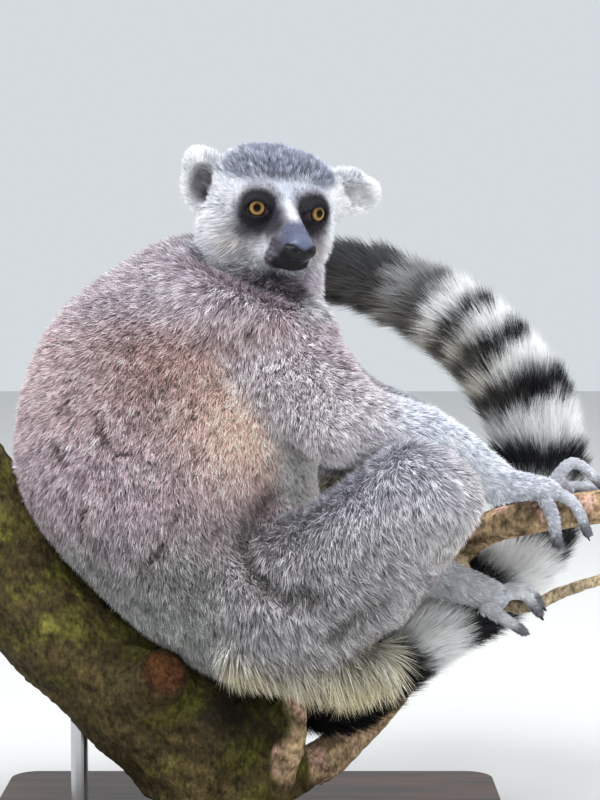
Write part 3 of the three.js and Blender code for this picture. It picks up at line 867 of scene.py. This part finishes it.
class Skin:
    """The skin's mesh and what the coat needs to know at each of its points."""

    def __init__(self, steps):
        forms = steps.forms()
        vertices, quads = steps.mesh(SKIN_CELL)
        self.mesh = bpy.data.meshes.new("skin")
        self.mesh.from_pydata(vertices.tolist(), [], quads.tolist())
        bm = bmesh.new()
        bm.from_mesh(self.mesh)
        refine(bm, steps, lambda p: near_head(p) | near_digits(p))
        refine(bm, steps, near_face)
        bm.to_mesh(self.mesh)
        bm.free()
        self.mesh.shade_smooth()
        self.points = read(self.mesh.vertices, "co").astype(float)
        self.normals = read(self.mesh.vertices, "normal").astype(float)
        self.mesh.calc_loop_triangles()
        self.triangles = read(self.mesh.loop_triangles, "vertices", np.int32)
        self.weights = shares(self.points, forms)
        self.colours = coat_colours(self.points, self.weights, forms)
        self.lies = lies_at(self.points, self.weights, forms)
        self.hair = hair_plan(self.points, self.weights, forms)
        self.owner = self.weights.argmax(0)


# ---- Coat ----
# By kind of group: hair length mm, lean off the skin in degrees, blade width mm, hairs per square mm,
# contrast from root to tip (painted shade at the root, painted light at the tip), and how far the hairs stray
# from the lie.
HAIR = {
    "trunk": (9.5, 55, 0.44, 2.8, 1.0, 0.55),
    "neck": (9, 50, 0.42, 2.6, 0.9, 0.45),
    "upper_arm": (8.5, 50, 0.42, 2.6, 0.95, 0.45),
    "forearm": (6.5, 42, 0.38, 2.9, 0.65, 0.34),
    "hand": (4.0, 32, 0.30, 3.8, 0.5, 0.20),
    "thigh": (9.5, 46, 0.44, 2.2, 0.9, 0.34),
    "fringe": (30, 28, 0.46, 2.2, 0.75, 0.24),
    "shank": (8.5, 34, 0.38, 2.4, 0.5, 0.22),
    "foot": (4.6, 32, 0.32, 3.4, 0.4, 0.20),
    "tail": (31, 43, 0.44, 4.0, 0.12, 0.26),
    "head": (6, 34, 0.30, 5.0, 0.26, 0.12),
    "ear": (5.5, 38, 0.28, 4.2, 0.18, 0.16),
}
LEGS = ("thigh", "fringe", "shank", "foot")
Y, Z = 1, 2
# Each coat piece: its slot, its groups and where it ends, as (axis, level, whether it lies past that level).
PIECES = {
    "coat_head": ("coat_white", ["head", *sided("ear")], []),
    "coat_shoulders": ("coat_grey", ["neck", *sided("upper_arm")], []),
    "coat_back_right": ("coat_brown", ["trunk"], [(Y, 0, False), (Z, 205, True)]),
    "coat_back_left": ("coat_brown", ["trunk"], [(Y, 0, True), (Z, 205, True)]),
    "coat_rump_right": ("coat_brown", ["trunk"], [(Y, 0, False), (Z, 205, False)]),
    "coat_rump_left": ("coat_brown", ["trunk"], [(Y, 0, True), (Z, 205, False)]),
    "coat_arms": ("coat_grey", sided("forearm", "hand"), []),
    "coat_leg_right": ("coat_grey", [f"{kind}_right" for kind in LEGS], []),
    "coat_leg_left": ("coat_grey", [f"{kind}_left" for kind in LEGS], []),
    "coat_tail_lower": ("coat_tail", ["tail"], [(Z, 215, False)]),
    "coat_tail_upper": ("coat_tail", ["tail"], [(Z, 215, True)]),
}
FIRST_SEED = 100
HASH_PRIMES = np.array([73856093, 19349663, 83492791])  # a common choice for hashing cells of space
PIECE_LIMIT = 80000  # hairs of two triangles
PATCH_SIZE = 0.003  # a tuft's patch on the OFBake map


def head_hair(points):
    """(length, density factor) over the head, from its own frame."""
    f, l, u = in_head(points).T
    side = np.abs(l)
    eyes = from_eyes(points)
    length = 3.2 + 3.0 * step_to(-f, 8, 20) + 1.2 * step_to(u, 17, 8)
    length = length + 5.5 * step_to(side, 17, 12) * step_to(-u, 4, 10) * step_to(-f, -6, 14)
    muzzle = step_to(f, 9, 12) * step_to(-side, -17, 6)
    length = length * (0.34 + 0.66 * step_to(eyes, 13, 8)) * (1 - 0.6 * muzzle)
    bald = np.maximum(step_to(f, 31, 1.5), step_to(-eyes, -9.6, 1.2))
    mouth = step_to(f, 22, 4) * step_to(-u, 21, 3) * step_to(-side, -9, 3)
    return np.maximum(length, 1.7), (1 - bald) * (1 - 0.7 * mouth) * (1 + 0.8 * muzzle)


def head_lie(points):
    """Hair lies back from the nose, parts over the brow and falls down the cheeks."""
    f, l, u = in_head(points).T
    up = np.where(u < -2, -0.35, 0.35 + 0.022 * u)
    way = np.stack([np.full(len(f), -1.0), np.sign(l) * 0.5 * step_to(np.abs(l), 8, 14), up], 1)
    return way @ HEAD_AXES.T


def ear_lie(points, sideways):
    """Hair stands out from the ear's middle towards its rim."""
    axes = ear_axes(sideways)
    own = ((points - of_head(EARS[sideways]["at"])) @ axes + [0, 0, 6]) * [0.2, 1, 1]
    return unit(own) @ axes.T


def group_lie(name, points, forms):
    kind = kind_of(name)
    if kind == "head":
        return head_lie(points)
    if kind == "ear":
        return ear_lie(points, -1 if name.endswith("right") else 1)
    if kind == "neck":
        return unit(points - HEAD_AT)
    if kind == "fringe":
        return np.array([0.35, 0, -1])
    way = forms[GROUPS[name][0]].lie(points)
    if kind == "thigh":
        return 0.75 * way + [-0.1, 0, -1]
    return way if kind == "tail" else way + [0, 0, -0.3]


def lies_at(points, weights, forms):
    """Which way the hair lies at each point, with a slow swirl everywhere but on the head."""
    total = np.zeros(points.shape)
    for name, weight in zip(NAMES, weights):
        near = weight > 0.01
        total[near] += weight[near, None] * group_lie(name, points[near], forms)
    swirl = np.stack([noise(points, 26, seed) for seed in (51, 52, 53)], 1)
    return unit(total) + 0.35 * swirl * (1 - weights[NAMES.index("head")])[:, None]


def hair_plan(points, weights, forms):
    """The columns of HAIR, blended and adjusted for each point of the skin."""
    table = np.array([HAIR[kind_of(name)] for name in NAMES])
    plan = (weights[:, :, None] * table[:, None, :]).sum(0)
    length, lean, width, density, contrast, stray = plan.T  # views, so what follows changes the plan
    x, y, z = points.T
    trunk, _, tail, head = weights[:4]
    fringe = weights[NAMES.index("fringe_right")] + weights[NAMES.index("fringe_left")]
    head_length, head_density = head_hair(points)
    length += head * (head_length - HAIR["head"][0])
    crown = head * step_to(in_head(points)[:, 2], 15.5, 5)
    lean += 20 * crown
    contrast += 0.7 * crown
    stray += 0.25 * crown
    width *= 1 - head * (1 - np.clip(head_length / 6, 0.55, 1.1))
    density *= 1 - head * (1 - head_density)
    run = forms["tail"].place(points) / (len(forms["tail"].centre) - 1)
    flare = np.interp(run, [0, 0.1, 0.3, 0.6, 0.85, 1], [0.6, 0.8, 0.95, 1.08, 0.95, 0.8])
    length *= 1 - tail * (1 - flare)
    fingers = near_digits(points) & (length < 5)
    length *= 1 - 0.45 * (fingers * step_to(np.maximum(x - 140, (z < 150) * (x - 108)), 4, 12))
    length *= (1 - 0.55 * partings(points) * trunk) * (1 - 0.4 * folds(points))
    belly = belly_share(points) * trunk
    # Painted light: less root shade on the flank's lit patch and on the shaded belly, so both come out
    # lighter.
    contrast -= 0.6 * hill((x + 26) / 34, (z - 235) / 44) * trunk + 0.3 * belly
    length *= 1 - 0.3 * belly
    length *= 1 - 0.3 * fringe * step_to(-x, 8, 20)
    return plan


def blades(roots, normals, lies, length, lean, width, stray, rng):
    """Four corners for each hair: the root, two halfway and the tip, bent back towards the skin."""
    n = len(roots)
    flow = unit(lies - normals * (lies * normals).sum(1)[:, None])
    flow = unit(flow + rng.normal(size=(n, 3)) * stray[:, None])
    tilt = np.radians(lean + rng.normal(scale=8, size=n))[:, None]
    way = unit(flow * np.cos(tilt) + normals * np.sin(tilt))
    across = unit(np.cross(way, normals) + rng.normal(scale=0.35, size=(n, 3)))
    across = unit(across - way * (across * way).sum(1)[:, None])
    start = roots - normals * 0.4
    middle = start + way * (0.45 * length)[:, None]
    tip = middle + unit(way + flow * 0.35 - normals * 0.12) * (0.55 * length)[:, None]
    half = across * (width / 2)[:, None]
    return np.stack([start, middle + half, tip, middle - half], 1)


def gathered(tips, roots, size, pull, rng):
    """How neighbouring tips draw together into locks about `size` mm apart, and a shade for each lock."""
    warped = roots + 0.35 * size * np.stack([noise(roots, size * 3.1, k) for k in (11, 12, 13)], 1)
    cell = np.floor(warped / size).astype(np.int64)
    x, y, z = (cell * HASH_PRIMES).T
    _, lock = np.unique(x ^ y ^ z, return_inverse=True)
    count = np.bincount(lock)
    centre = np.stack([np.bincount(lock, tips[:, k]) / count for k in range(3)], 1)
    shade = rng.normal(size=len(count))
    return (centre[lock] - tips) * pull, shade[lock]


def grow(name, skin, forms, rng):
    """One coat piece: its corners, their shades and their places on the map."""
    _, members, limits = PIECES[name]
    rows = [NAMES.index(member) for member in members]
    first = skin.triangles[:, 0]
    wanted = np.isin(skin.owner[first], rows)
    for axis, level, past in limits:
        wanted &= (skin.points[first, axis] > level) == past
    triangles = skin.triangles[wanted]
    a, b, c = skin.points[triangles].transpose(1, 0, 2)
    share = np.linalg.norm(np.cross(b - a, c - a), axis=1) / 2 * skin.hair[triangles, 3].mean(1)
    total = int(min(share.sum(), PIECE_LIMIT))
    pick = rng.choice(len(triangles), size=total, p=share / share.sum())
    a, b = rng.random((2, total))
    flip = a + b > 1
    a[flip], b[flip] = 1 - a[flip], 1 - b[flip]
    weight = np.stack([1 - a - b, a, b], 1)[:, :, None]
    ids = triangles[pick]
    known = (skin.points, skin.normals, skin.lies, skin.colours, skin.hair)
    roots, outward, lies, colour, hair = ((values[ids] * weight).sum(1) for values in known)
    length, lean, width, _, contrast, stray = hair.T
    length = length * rng.uniform(0.7, 1.12, total)
    width = width * rng.uniform(0.7, 1.3, total) * 1
    corners = blades(roots, unit(outward), lies, length, lean, width, stray, rng)
    size, pull = (6.0, 0.55) if length.mean() > 15 else (2.4, 0.4)
    pull, shade = gathered(corners[:, 2], roots, size, pull, rng)
    corners[:, 2] += pull
    corners[:, [1, 3]] += pull[:, None] * 0.35
    grain = np.exp(contrast * (0.34 * shade + rng.normal(scale=0.34, size=total)) - 0.08 * contrast)
    # Painted shade and light along each hair: darker at the root, lighter at the tip, by its contrast.
    depth = 1 + contrast[:, None] * np.array([-0.62, -0.06, 0.34, -0.06])
    shades = np.clip(colour[:, None, :] * (grain[:, None] * depth)[:, :, None], 0, 0.95)
    return corners, shades, root_patches(roots, skin.owner[ids[:, 0]], rows, forms)


def root_patches(roots, owner, rows, forms):
    """Each hair's corners on the map: a patch at its root's place, with a strip of the map for each group."""
    place = np.zeros((len(roots), 2))
    for strip, row in enumerate(rows):
        mine = owner == row
        if mine.any():
            uv = forms[GROUPS[NAMES[row]][0]].unwrap(roots[mine])
            place[mine] = np.stack([uv[:, 0] * 0.98, (strip + uv[:, 1] * 0.97) / len(rows)], 1)
    place = place * (1 - 2 * PATCH_SIZE) + PATCH_SIZE
    shape = np.array([[0, -0.5], [0.5, 0], [0, 0.5], [-0.5, 0]]) * PATCH_SIZE
    return place[:, None, :] + shape[None]


def strand_mesh(name, corners, colours, uv):
    """A mesh of four-cornered hairs, two triangles each."""
    count = len(corners)
    mesh = bpy.data.meshes.new(name)
    order = np.array([0, 1, 3, 1, 2, 3], np.int32)
    loops = (np.arange(count, dtype=np.int32)[:, None] * 4 + order).ravel()
    mesh.vertices.add(4 * count)
    mesh.vertices.foreach_set("co", metres(corners.reshape(-1, 3)).astype(np.float32).ravel())
    mesh.loops.add(len(loops))
    mesh.loops.foreach_set("vertex_index", loops)
    mesh.polygons.add(2 * count)
    mesh.polygons.foreach_set("loop_start", np.arange(2 * count, dtype=np.int32) * 3)
    mesh.update(calc_edges=True)
    mesh.shade_smooth()
    set_colours(mesh, colours.reshape(-1, 3))
    store(mesh.uv_layers.new(name="OFBake"), "uv", uv[:, order])
    return mesh


# ---- Materials ----
class Look:
    """A material whose shader is built up node by node."""

    def __init__(self, name, **values):
        self.material = bpy.data.materials.new(name)
        self.material.use_nodes = True
        self.tree = self.material.node_tree
        self.shader = self.tree.nodes["Principled BSDF"]
        self.surface(**values)

    def surface(self, **values):
        """Sets the shader's sockets, and gives the material."""
        self.feed(self.shader, values)
        return self.material

    def plug(self, socket, value):
        """Sets a socket, or links it where the value is another node's output."""
        if isinstance(value, bpy.types.NodeSocket):
            self.tree.links.new(value, socket)
        else:
            socket.default_value = value

    def feed(self, node, values):
        """Sets sockets by name, with "_" for a space."""
        for name, value in values.items():
            self.plug(node.inputs[name.replace("_", " ")], value)

    def node(self, kind, settings=None, **values):
        made = self.tree.nodes.new(f"ShaderNode{kind}")
        for name, value in (settings or {}).items():
            setattr(made, name, value)
        self.feed(made, values)
        return made

    def stored(self, name, output):
        return self.node("Attribute", {"attribute_name": name}).outputs[output]

    def noise(self, scale, detail, place=None, roughness=0.5):
        where = place or self.node("TexCoord").outputs["Object"]
        made = self.node("TexNoise", Vector=where, Scale=scale, Detail=detail, Roughness=roughness)
        return made.outputs["Fac"]

    def stretched(self, scale):
        place = self.node("TexCoord").outputs["Object"]
        return self.node("Mapping", Vector=place, Scale=scale).outputs["Vector"]

    def ramp(self, value, stops):
        made = self.node("ValToRGB", Fac=value)
        elements = made.color_ramp.elements
        elements.remove(elements[1])
        for i, (at, colour) in enumerate(stops):
            stop = elements[0] if i == 0 else elements.new(at)
            stop.position = at
            stop.color = (*colour, 1)
        return made.outputs["Color"]

    def bump(self, height, strength, distance):
        made = self.node("Bump", Strength=strength, Distance=distance, Height=height)
        self.surface(Normal=made.outputs["Normal"])

    def math(self, operation, *values):
        made = self.node("Math", {"operation": operation})
        for socket, value in zip(made.inputs, values):
            self.plug(socket, value)
        return made.outputs["Value"]

    def times(self, a, b):
        settings = {"data_type": "RGBA", "blend_type": "MULTIPLY"}
        return self.node("Mix", settings, Factor=1.0, A=a, B=b).outputs["Result"]


def fur_material():
    look = Look("fur", Roughness=0.62, Specular_IOR_Level=0.28)
    return look.surface(Base_Color=look.stored("coat", "Color"))


def skin_material():
    look = Look("skin", Specular_IOR_Level=0.3)
    look.bump(look.noise(900, 4), 0.5, 0.0006)
    rough = look.node("MapRange", Value=look.stored("wet", "Fac"), To_Min=0.75, To_Max=0.34)
    return look.surface(Roughness=rough.outputs["Result"], Base_Color=look.stored("coat", "Color"))


IRIS_STOPS = [
    (0.0, "#020202"), (0.34, "#030202"), (0.39, "#2c1c0c"), (0.47, "#7d5f34"), (0.62, "#a88652"),
    (0.72, "#8a683a"), (0.81, "#3d2c19"), (0.88, "#0d0a0a"), (0.93, "#0e0b0b"), (1.0, "#4c4043"),
]


def eye_material():
    """Amber iris with fine fibres, a dark pupil and rim, by the distance from the gaze stored as `iris`."""
    look = Look("eye", Roughness=0.05, Specular_IOR_Level=0.14)
    parts = look.node("SeparateXYZ", Vector=look.stored("iris", "Vector")).outputs
    spin = look.node("CombineXYZ", X=parts["Y"], Y=parts["Z"]).outputs["Vector"]
    wobble = look.math("MULTIPLY_ADD", look.noise(6, 6, spin), 0.10, parts["X"])
    iris = look.ramp(wobble, [(at, paint(code)) for at, code in IRIS_STOPS])
    height = look.node("MapRange", Value=parts["Z"], From_Min=-0.6, From_Max=2.0).outputs["Result"]
    lid_shade = look.ramp(height, [(0, (1, 1, 1)), (1, (0.35, 0.33, 0.32))])
    return look.surface(Base_Color=look.times(iris, lid_shade))


def bark_material():
    look = Look("bark", Roughness=0.85, Specular_IOR_Level=0.2)
    flaky = look.noise(1.0, 5, look.stretched((420, 420, 230)), roughness=0.6)
    both = look.math("MULTIPLY", look.noise(140, 8, roughness=0.65), flaky)
    stops = [(0.14, (0.28, 0.27, 0.25)), (0.24, (0.85, 0.85, 0.85)), (0.4, (1.9, 1.85, 1.8))]
    look.bump(both, 1.0, 0.003)
    return look.surface(Base_Color=look.times(look.stored("coat", "Color"), look.ramp(both, stops)))


def lacquer_material():
    look = Look("base_wood", Roughness=0.38)
    grain = look.noise(3, 8, look.stretched((4, 60, 60)))
    return look.surface(Base_Color=look.ramp(grain, [(0.35, paint("#2a1a12")), (0.7, paint("#5a3c28"))]))


def steel_material():
    look = Look("steel", Base_Color=(0.55, 0.56, 0.58, 1), Metallic=1.0, Roughness=0.32)
    look.bump(look.noise(1, 2, look.stretched((40, 40, 1500))), 0.15, 0.0002)
    return look.material


def claw_material():
    return Look("claw", Roughness=0.35, Base_Color=(*paint("#26221f"), 1)).material


# ---- Wood ----
class Ground:
    """Everything under the saw cut."""

    low = np.array([-400.0, -400, -60])
    high = np.array([400.0, 400, LIMB_FOOT])

    def distance(self, points):
        return points[:, 2] - LIMB_FOOT


def wood():
    steps = Steps()
    for name, stations, inset, blend, options in (
        ("limb", LIMB, 1, 1, {"dome": 0.12}),
        ("limb_foot", [[-52, 0, 50, 32, 38], [-42, 0, 6, 37, 47]], 1, 14, {"dome": 0.3}),
        ("crotch", [[-52, 0, 62, 26, 20], [-22, 0, 22, 24, 24]], 1, 12, {}),
        ("web", [[-44, 0, 70, 20, 16], [-9, -16, 64, 13, 12]], 1, 6, {}),
        ("stub", STUB, 1, 10, {"side": (0, 0, 1), "dome": 0.1}),
        ("branch", BRANCH, 0.5, 8, {"dome": 0.2}),
        ("prop", PROP, 0.5, 8, {}),
        ("shoot", SHOOT, 0.3, 3, {}),
    ):
        steps.add(name, Sweep(stations, inset, spans=4, **options), blend)
    steps.cut(Ground(), 0.5)
    return steps


def make_wood():
    """The limb with mossy, furrowed bark, and the smoother, paler branch, prop and shoot."""
    steps = wood()
    forms = steps.forms()
    vertices, quads = steps.mesh(WOOD_CELL)
    slope = unit(steps.gradient(vertices))
    limb = forms["limb"]
    where, own = limb.local(vertices)
    around = np.arctan2(own[:, 1], own[:, 0])
    run = limb.run_at(where)
    furrow = 1 - 2 * np.abs(noise(np.column_stack([around * 34, run * 0.35, 0 * run]), 26, 21))
    thick = [forms[name].distance(vertices) for name in ("limb", "limb_foot", "crotch", "web", "stub")]
    on_limb = step_to(-np.min(thick, axis=0), -7, 5)
    thin = 1 - on_limb
    above_cut = step_to(vertices[:, 2], LIMB_FOOT + 1.5, 1.5)
    rough = 0.9 * furrow + 1.2 * noise(vertices, 60, 22) + 0.5 * noise(vertices, 8, 23)
    relief = rough * on_limb * above_cut + 0.35 * noise(vertices, 7, 24)
    moss = step_to(noise(vertices, 40, 25) + 0.3 * noise(vertices, 9, 26) + slope[:, 2], 0.5, 0.9)
    moss = moss * (0.6 + 0.4 * step_to(noise(vertices, 5, 33), -0.2, 0.8))
    bark = mix(mix(MOULD, MOSS, moss * on_limb), THIN_BARK, thin * 0.95)
    scuff = step_to(noise(vertices, 16, 28) + 0.5 * noise(vertices, 6, 29), 0.45, 0.3)
    bark = mix(bark, SCUFF, scuff * step_to(slope[:, 2], -0.2, 0.5) * thin)
    streak = step_to(noise(vertices * [0.5, 1, 1.6], 11, 30), 0.35, 0.4)
    bark = mix(bark, STREAK, 0.6 * streak * thin)
    bark = mix(bark, TWIG, step_to(-forms["shoot"].distance(vertices), -2, 2))
    bark = bark * np.exp(0.22 * relief * on_limb + 0.10 * noise(vertices, 4, 27))[:, None]
    for name, end, tone in (("limb", 0, 1), ("stub", -1, 0.35), ("branch", -1, 1), ("shoot", -1, 1)):
        bark = cut_end(bark, vertices, slope, forms[name], end, tone)
    # Painted shadow, nearly black, in the fork between the limb and the rump.
    shaded_hollow = hill((vertices[:, 0] + 36) / 22, (vertices[:, 2] - 70) / 24)
    bark = bark * (1 - 0.88 * shaded_hollow * on_limb)[:, None]
    foot = step_to(-slope[:, 2], 0.8, 0.2) * step_to(-vertices[:, 2], -(LIMB_FOOT + 1), 1)
    mesh = bpy.data.meshes.new("perch")
    mesh.from_pydata(metres(vertices + slope * relief[:, None]).tolist(), [], quads.tolist())
    mesh.shade_smooth()
    set_colours(mesh, mix(bark, SAWN_FOOT, foot))
    return mesh


def cut_end(colour, points, slope, form, end, tone):
    """Sawn wood with growth rings on a swept form's end; `tone` below one makes it darker."""
    out = form.along[end] * (-1 if end == 0 else 1)
    offset = points - form.centre[end]
    far = offset @ out
    radial = np.linalg.norm(offset - far[:, None] * out, axis=1)
    size = form.radii[end].mean()
    face = step_to(slope @ out, 0.75, 0.3) * (radial < size * 0.95) * (np.abs(far) < size * 0.5)
    rings = 0.5 + 0.5 * np.sin(radial * 2.6 + noise(points, 12, 31))
    rim = step_to(radial + 2 * noise(points, 7, 32), size * 0.7, size * 0.35)
    sawn = mix(mix(SAWN, GROWTH_RING, rings * 0.6), UNDER_BARK, rim * 0.7)
    return mix(colour, sawn * [tone, tone**1.3, tone**1.5], face)


# ---- Eyes and claws ----
IRIS_SCALE = 5.5  # mm from the gaze at which the iris's colours have run out
CORNEA_RADIUS = 6.2
CORNEA_HEIGHT = 0.55


def make_eye(sideways):
    """An eyeball with a slightly raised cornea, its rings stored as distance from the gaze."""
    rows, around = 48, 64
    angle = np.linspace(0, math.pi, rows + 1)[1:-1]
    spin = np.linspace(0, 2 * math.pi, around, endpoint=False)
    a, s = np.meshgrid(angle, spin, indexing="ij")
    cornea = np.clip(1 - (np.sin(a) * EYE_RADIUS / CORNEA_RADIUS) ** 2, 0, 1) * (a < 1.2)
    bulge = EYE_RADIUS + CORNEA_HEIGHT * cornea
    own = np.stack([np.cos(a) * bulge, np.sin(a) * np.cos(s) * bulge, np.sin(a) * np.sin(s) * bulge], -1)
    own = np.vstack([[[EYE_RADIUS + CORNEA_HEIGHT, 0, 0]], own.reshape(-1, 3), [[-EYE_RADIUS, 0, 0]]])
    last = len(own) - 1
    faces = []
    for j in range(around):
        k = (j + 1) % around
        faces += [[0, 1 + j, 1 + k], [last, last - around + k, last - around + j]]
        for row in range(1, last - around, around):
            faces.append([row + j, row + around + j, row + around + k, row + k])
    mesh = bpy.data.meshes.new("eyeball")
    mesh.from_pydata(metres(in_eye(sideways, own)).tolist(), [], faces)
    mesh.shade_smooth()
    radial = np.hypot(own[:, 1], own[:, 2])
    out = np.where(own[:, 0] > 0, radial / IRIS_SCALE, 1.2)
    direction = own[:, 1:] / np.maximum(radial, 1e-6)[:, None]
    rings = mesh.attributes.new("iris", "FLOAT_VECTOR", "POINT")
    store(rings, "vector", np.column_stack([out, direction * 2]))
    return mesh


def make_claws():
    """A small dark nail at the end of each finger and toe."""
    bm = bmesh.new()
    for path in (p for paths in DIGITS.values() for p in paths):
        points = curve(path, 6)
        tip, way = points[-1], unit(points[-1] - points[-2])
        out = unit(np.cross(np.cross(way, unit(tip - points[0])), way) * -1 + [0, -0.2, 0.2])
        turn = Matrix(np.column_stack([way, np.cross(out, way), out]).tolist()).to_4x4()
        place = Matrix.Translation(tip + way * 2.2 + out * 0.9) @ turn @ Matrix.Diagonal((3.0, 1.5, 0.8, 1))
        bmesh.ops.create_uvsphere(bm, u_segments=10, v_segments=6, radius=1, matrix=place)
    for vertex in bm.verts:
        vertex.co = metres(vertex.co)
    mesh = bpy.data.meshes.new("claws")
    bm.to_mesh(mesh)
    bm.free()
    mesh.shade_smooth()
    return mesh


# ---- Assembly ----
FLESH_NODES = [
    "head", *sided("ear"), "neck", "trunk", *sided("upper_arm", "forearm", "hand", "thigh", "shank", "foot"),
    *(f"tail_{i}" for i in range(1, 7)),
]
WOOD_NODES = [f"perch_{part}" for part in ("limb", "branch", "shoot", "prop", "stub")]


def dress(mesh, look):
    mesh.materials.clear()
    mesh.materials.append(look)


def new_object(name, data):
    thing = bpy.data.objects.new(name, data)
    bpy.context.collection.objects.link(thing)
    return thing


def as_piece(name, mesh, look, slot, *nodes):
    thing = new_object(name, mesh)
    dress(mesh, look)
    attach(thing, "root")
    if nodes:
        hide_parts(*nodes)


def build_animal():
    steps = flesh()
    skin = Skin(steps)
    skin.mesh.vertices.foreach_set("co", metres(skin.points).astype(np.float32).ravel())
    # Painted shade: the skin is darker under the coat by the coat's contrast, as the shade deep in the fur.
    set_colours(skin.mesh, skin.colours * (1 - 0.55 * skin.hair[:, 4:5]))
    f, l, u = in_head(skin.points).T
    wet = step_to(f, 31.5, 1.5) * (np.abs(l) < 10) * (np.abs(u + 18) < 8)
    store(skin.mesh.attributes.new("wet", "FLOAT", "POINT"), "value", wet)
    as_piece("skin", skin.mesh, skin_material(), "coat_grey", *FLESH_NODES)
    fur = fur_material()
    for seed, (name, (slot, *_)) in enumerate(PIECES.items(), FIRST_SEED):
        hairs = grow(name, skin, steps.forms(), np.random.default_rng(seed))
        as_piece(name, strand_mesh(name, *hairs), fur, slot)
    eye = eye_material()
    for way, side in SIDES:
        as_piece(f"eyeball_{side}", make_eye(way), eye, "eye", f"eye_{side}")
    as_piece("claws", make_claws(), claw_material(), "coat_grey")


def build_stand():
    as_piece("perch", make_wood(), bark_material(), "bark", *WOOD_NODES)
    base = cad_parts["stand_base"]
    dress(base.data, lacquer_material())
    bevel = base.modifiers.new("edge", "BEVEL")
    bevel.width = 2 * MM
    bevel.segments = 3
    bevel.limit_method = "ANGLE"
    steel = steel_material()
    for name in ("stand_rod_back", "stand_rod_front"):
        dress(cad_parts[name].data, steel)


# ---- Stage ----
CAMERA_FAR = 1100.0  # mm from the camera to the middle of the picture
CAMERA_DOWN = 4.0  # degrees
PIXELS_PER_MM = 1.75
PICTURE_HEIGHT = 800  # pixels
SENSOR = 36.0
LOOK_AT = np.array([0.0, 0.0, 244.0])
LIGHT_FAR = 1.3  # metres, for a direction of length one
# Each light's direction from the middle, its size in metres and its watts.
LIGHTS = {
    "key": ((-0.40, -0.60, 1.25), 1.0, 35),
    "fill": ((1.2, -0.8, 0.35), 1.2, 11),
    "rim": ((1.0, 0.3, 1.0), 0.9, 20),
    "spark": ((-0.36, -0.95, 0.62), 0.12, 2.5),  # shows in the eyes and on the nose alone
}


def aim(thing, way):
    thing.rotation_euler = Vector(way).to_track_quat("-Z", "Y").to_euler()


def build_stage():
    scene = bpy.context.scene
    bpy.ops.mesh.primitive_plane_add(size=8, location=(0, 0, -0.0005))
    floor = bpy.context.object
    floor.name = "floor"
    dress(floor.data, Look("floor", Base_Color=(0.66, 0.66, 0.65, 1), Roughness=0.9).material)
    scene.world = bpy.data.worlds.new("studio")
    scene.world.use_nodes = True
    sky = scene.world.node_tree.nodes["Background"].inputs
    sky["Color"].default_value = (0.90, 0.95, 1.0, 1)
    sky["Strength"].default_value = 0.74
    middle = Vector(metres(LOOK_AT))
    for name, (way, size, watts) in LIGHTS.items():
        light = bpy.data.lights.new(name, "AREA")
        light.size = size
        light.energy = watts
        lamp = new_object(name, light)
        lamp.visible_glossy = name in ("key", "spark")
        lamp.visible_diffuse = name != "spark"
        lamp.location = middle + Vector(way) * LIGHT_FAR
        aim(lamp, middle - lamp.location)
    data = bpy.data.cameras.new("camera")
    data.sensor_width = SENSOR
    data.lens = SENSOR * CAMERA_FAR * PIXELS_PER_MM / PICTURE_HEIGHT
    scene.camera = new_object("camera", data)
    down = math.radians(CAMERA_DOWN)
    ahead = np.array([0, math.cos(down), -math.sin(down)])
    scene.camera.location = metres(LOOK_AT - ahead * CAMERA_FAR)
    aim(scene.camera, ahead)
    scene.view_settings.view_transform = "Standard"


build_stage()
build_stand()
build_animal()
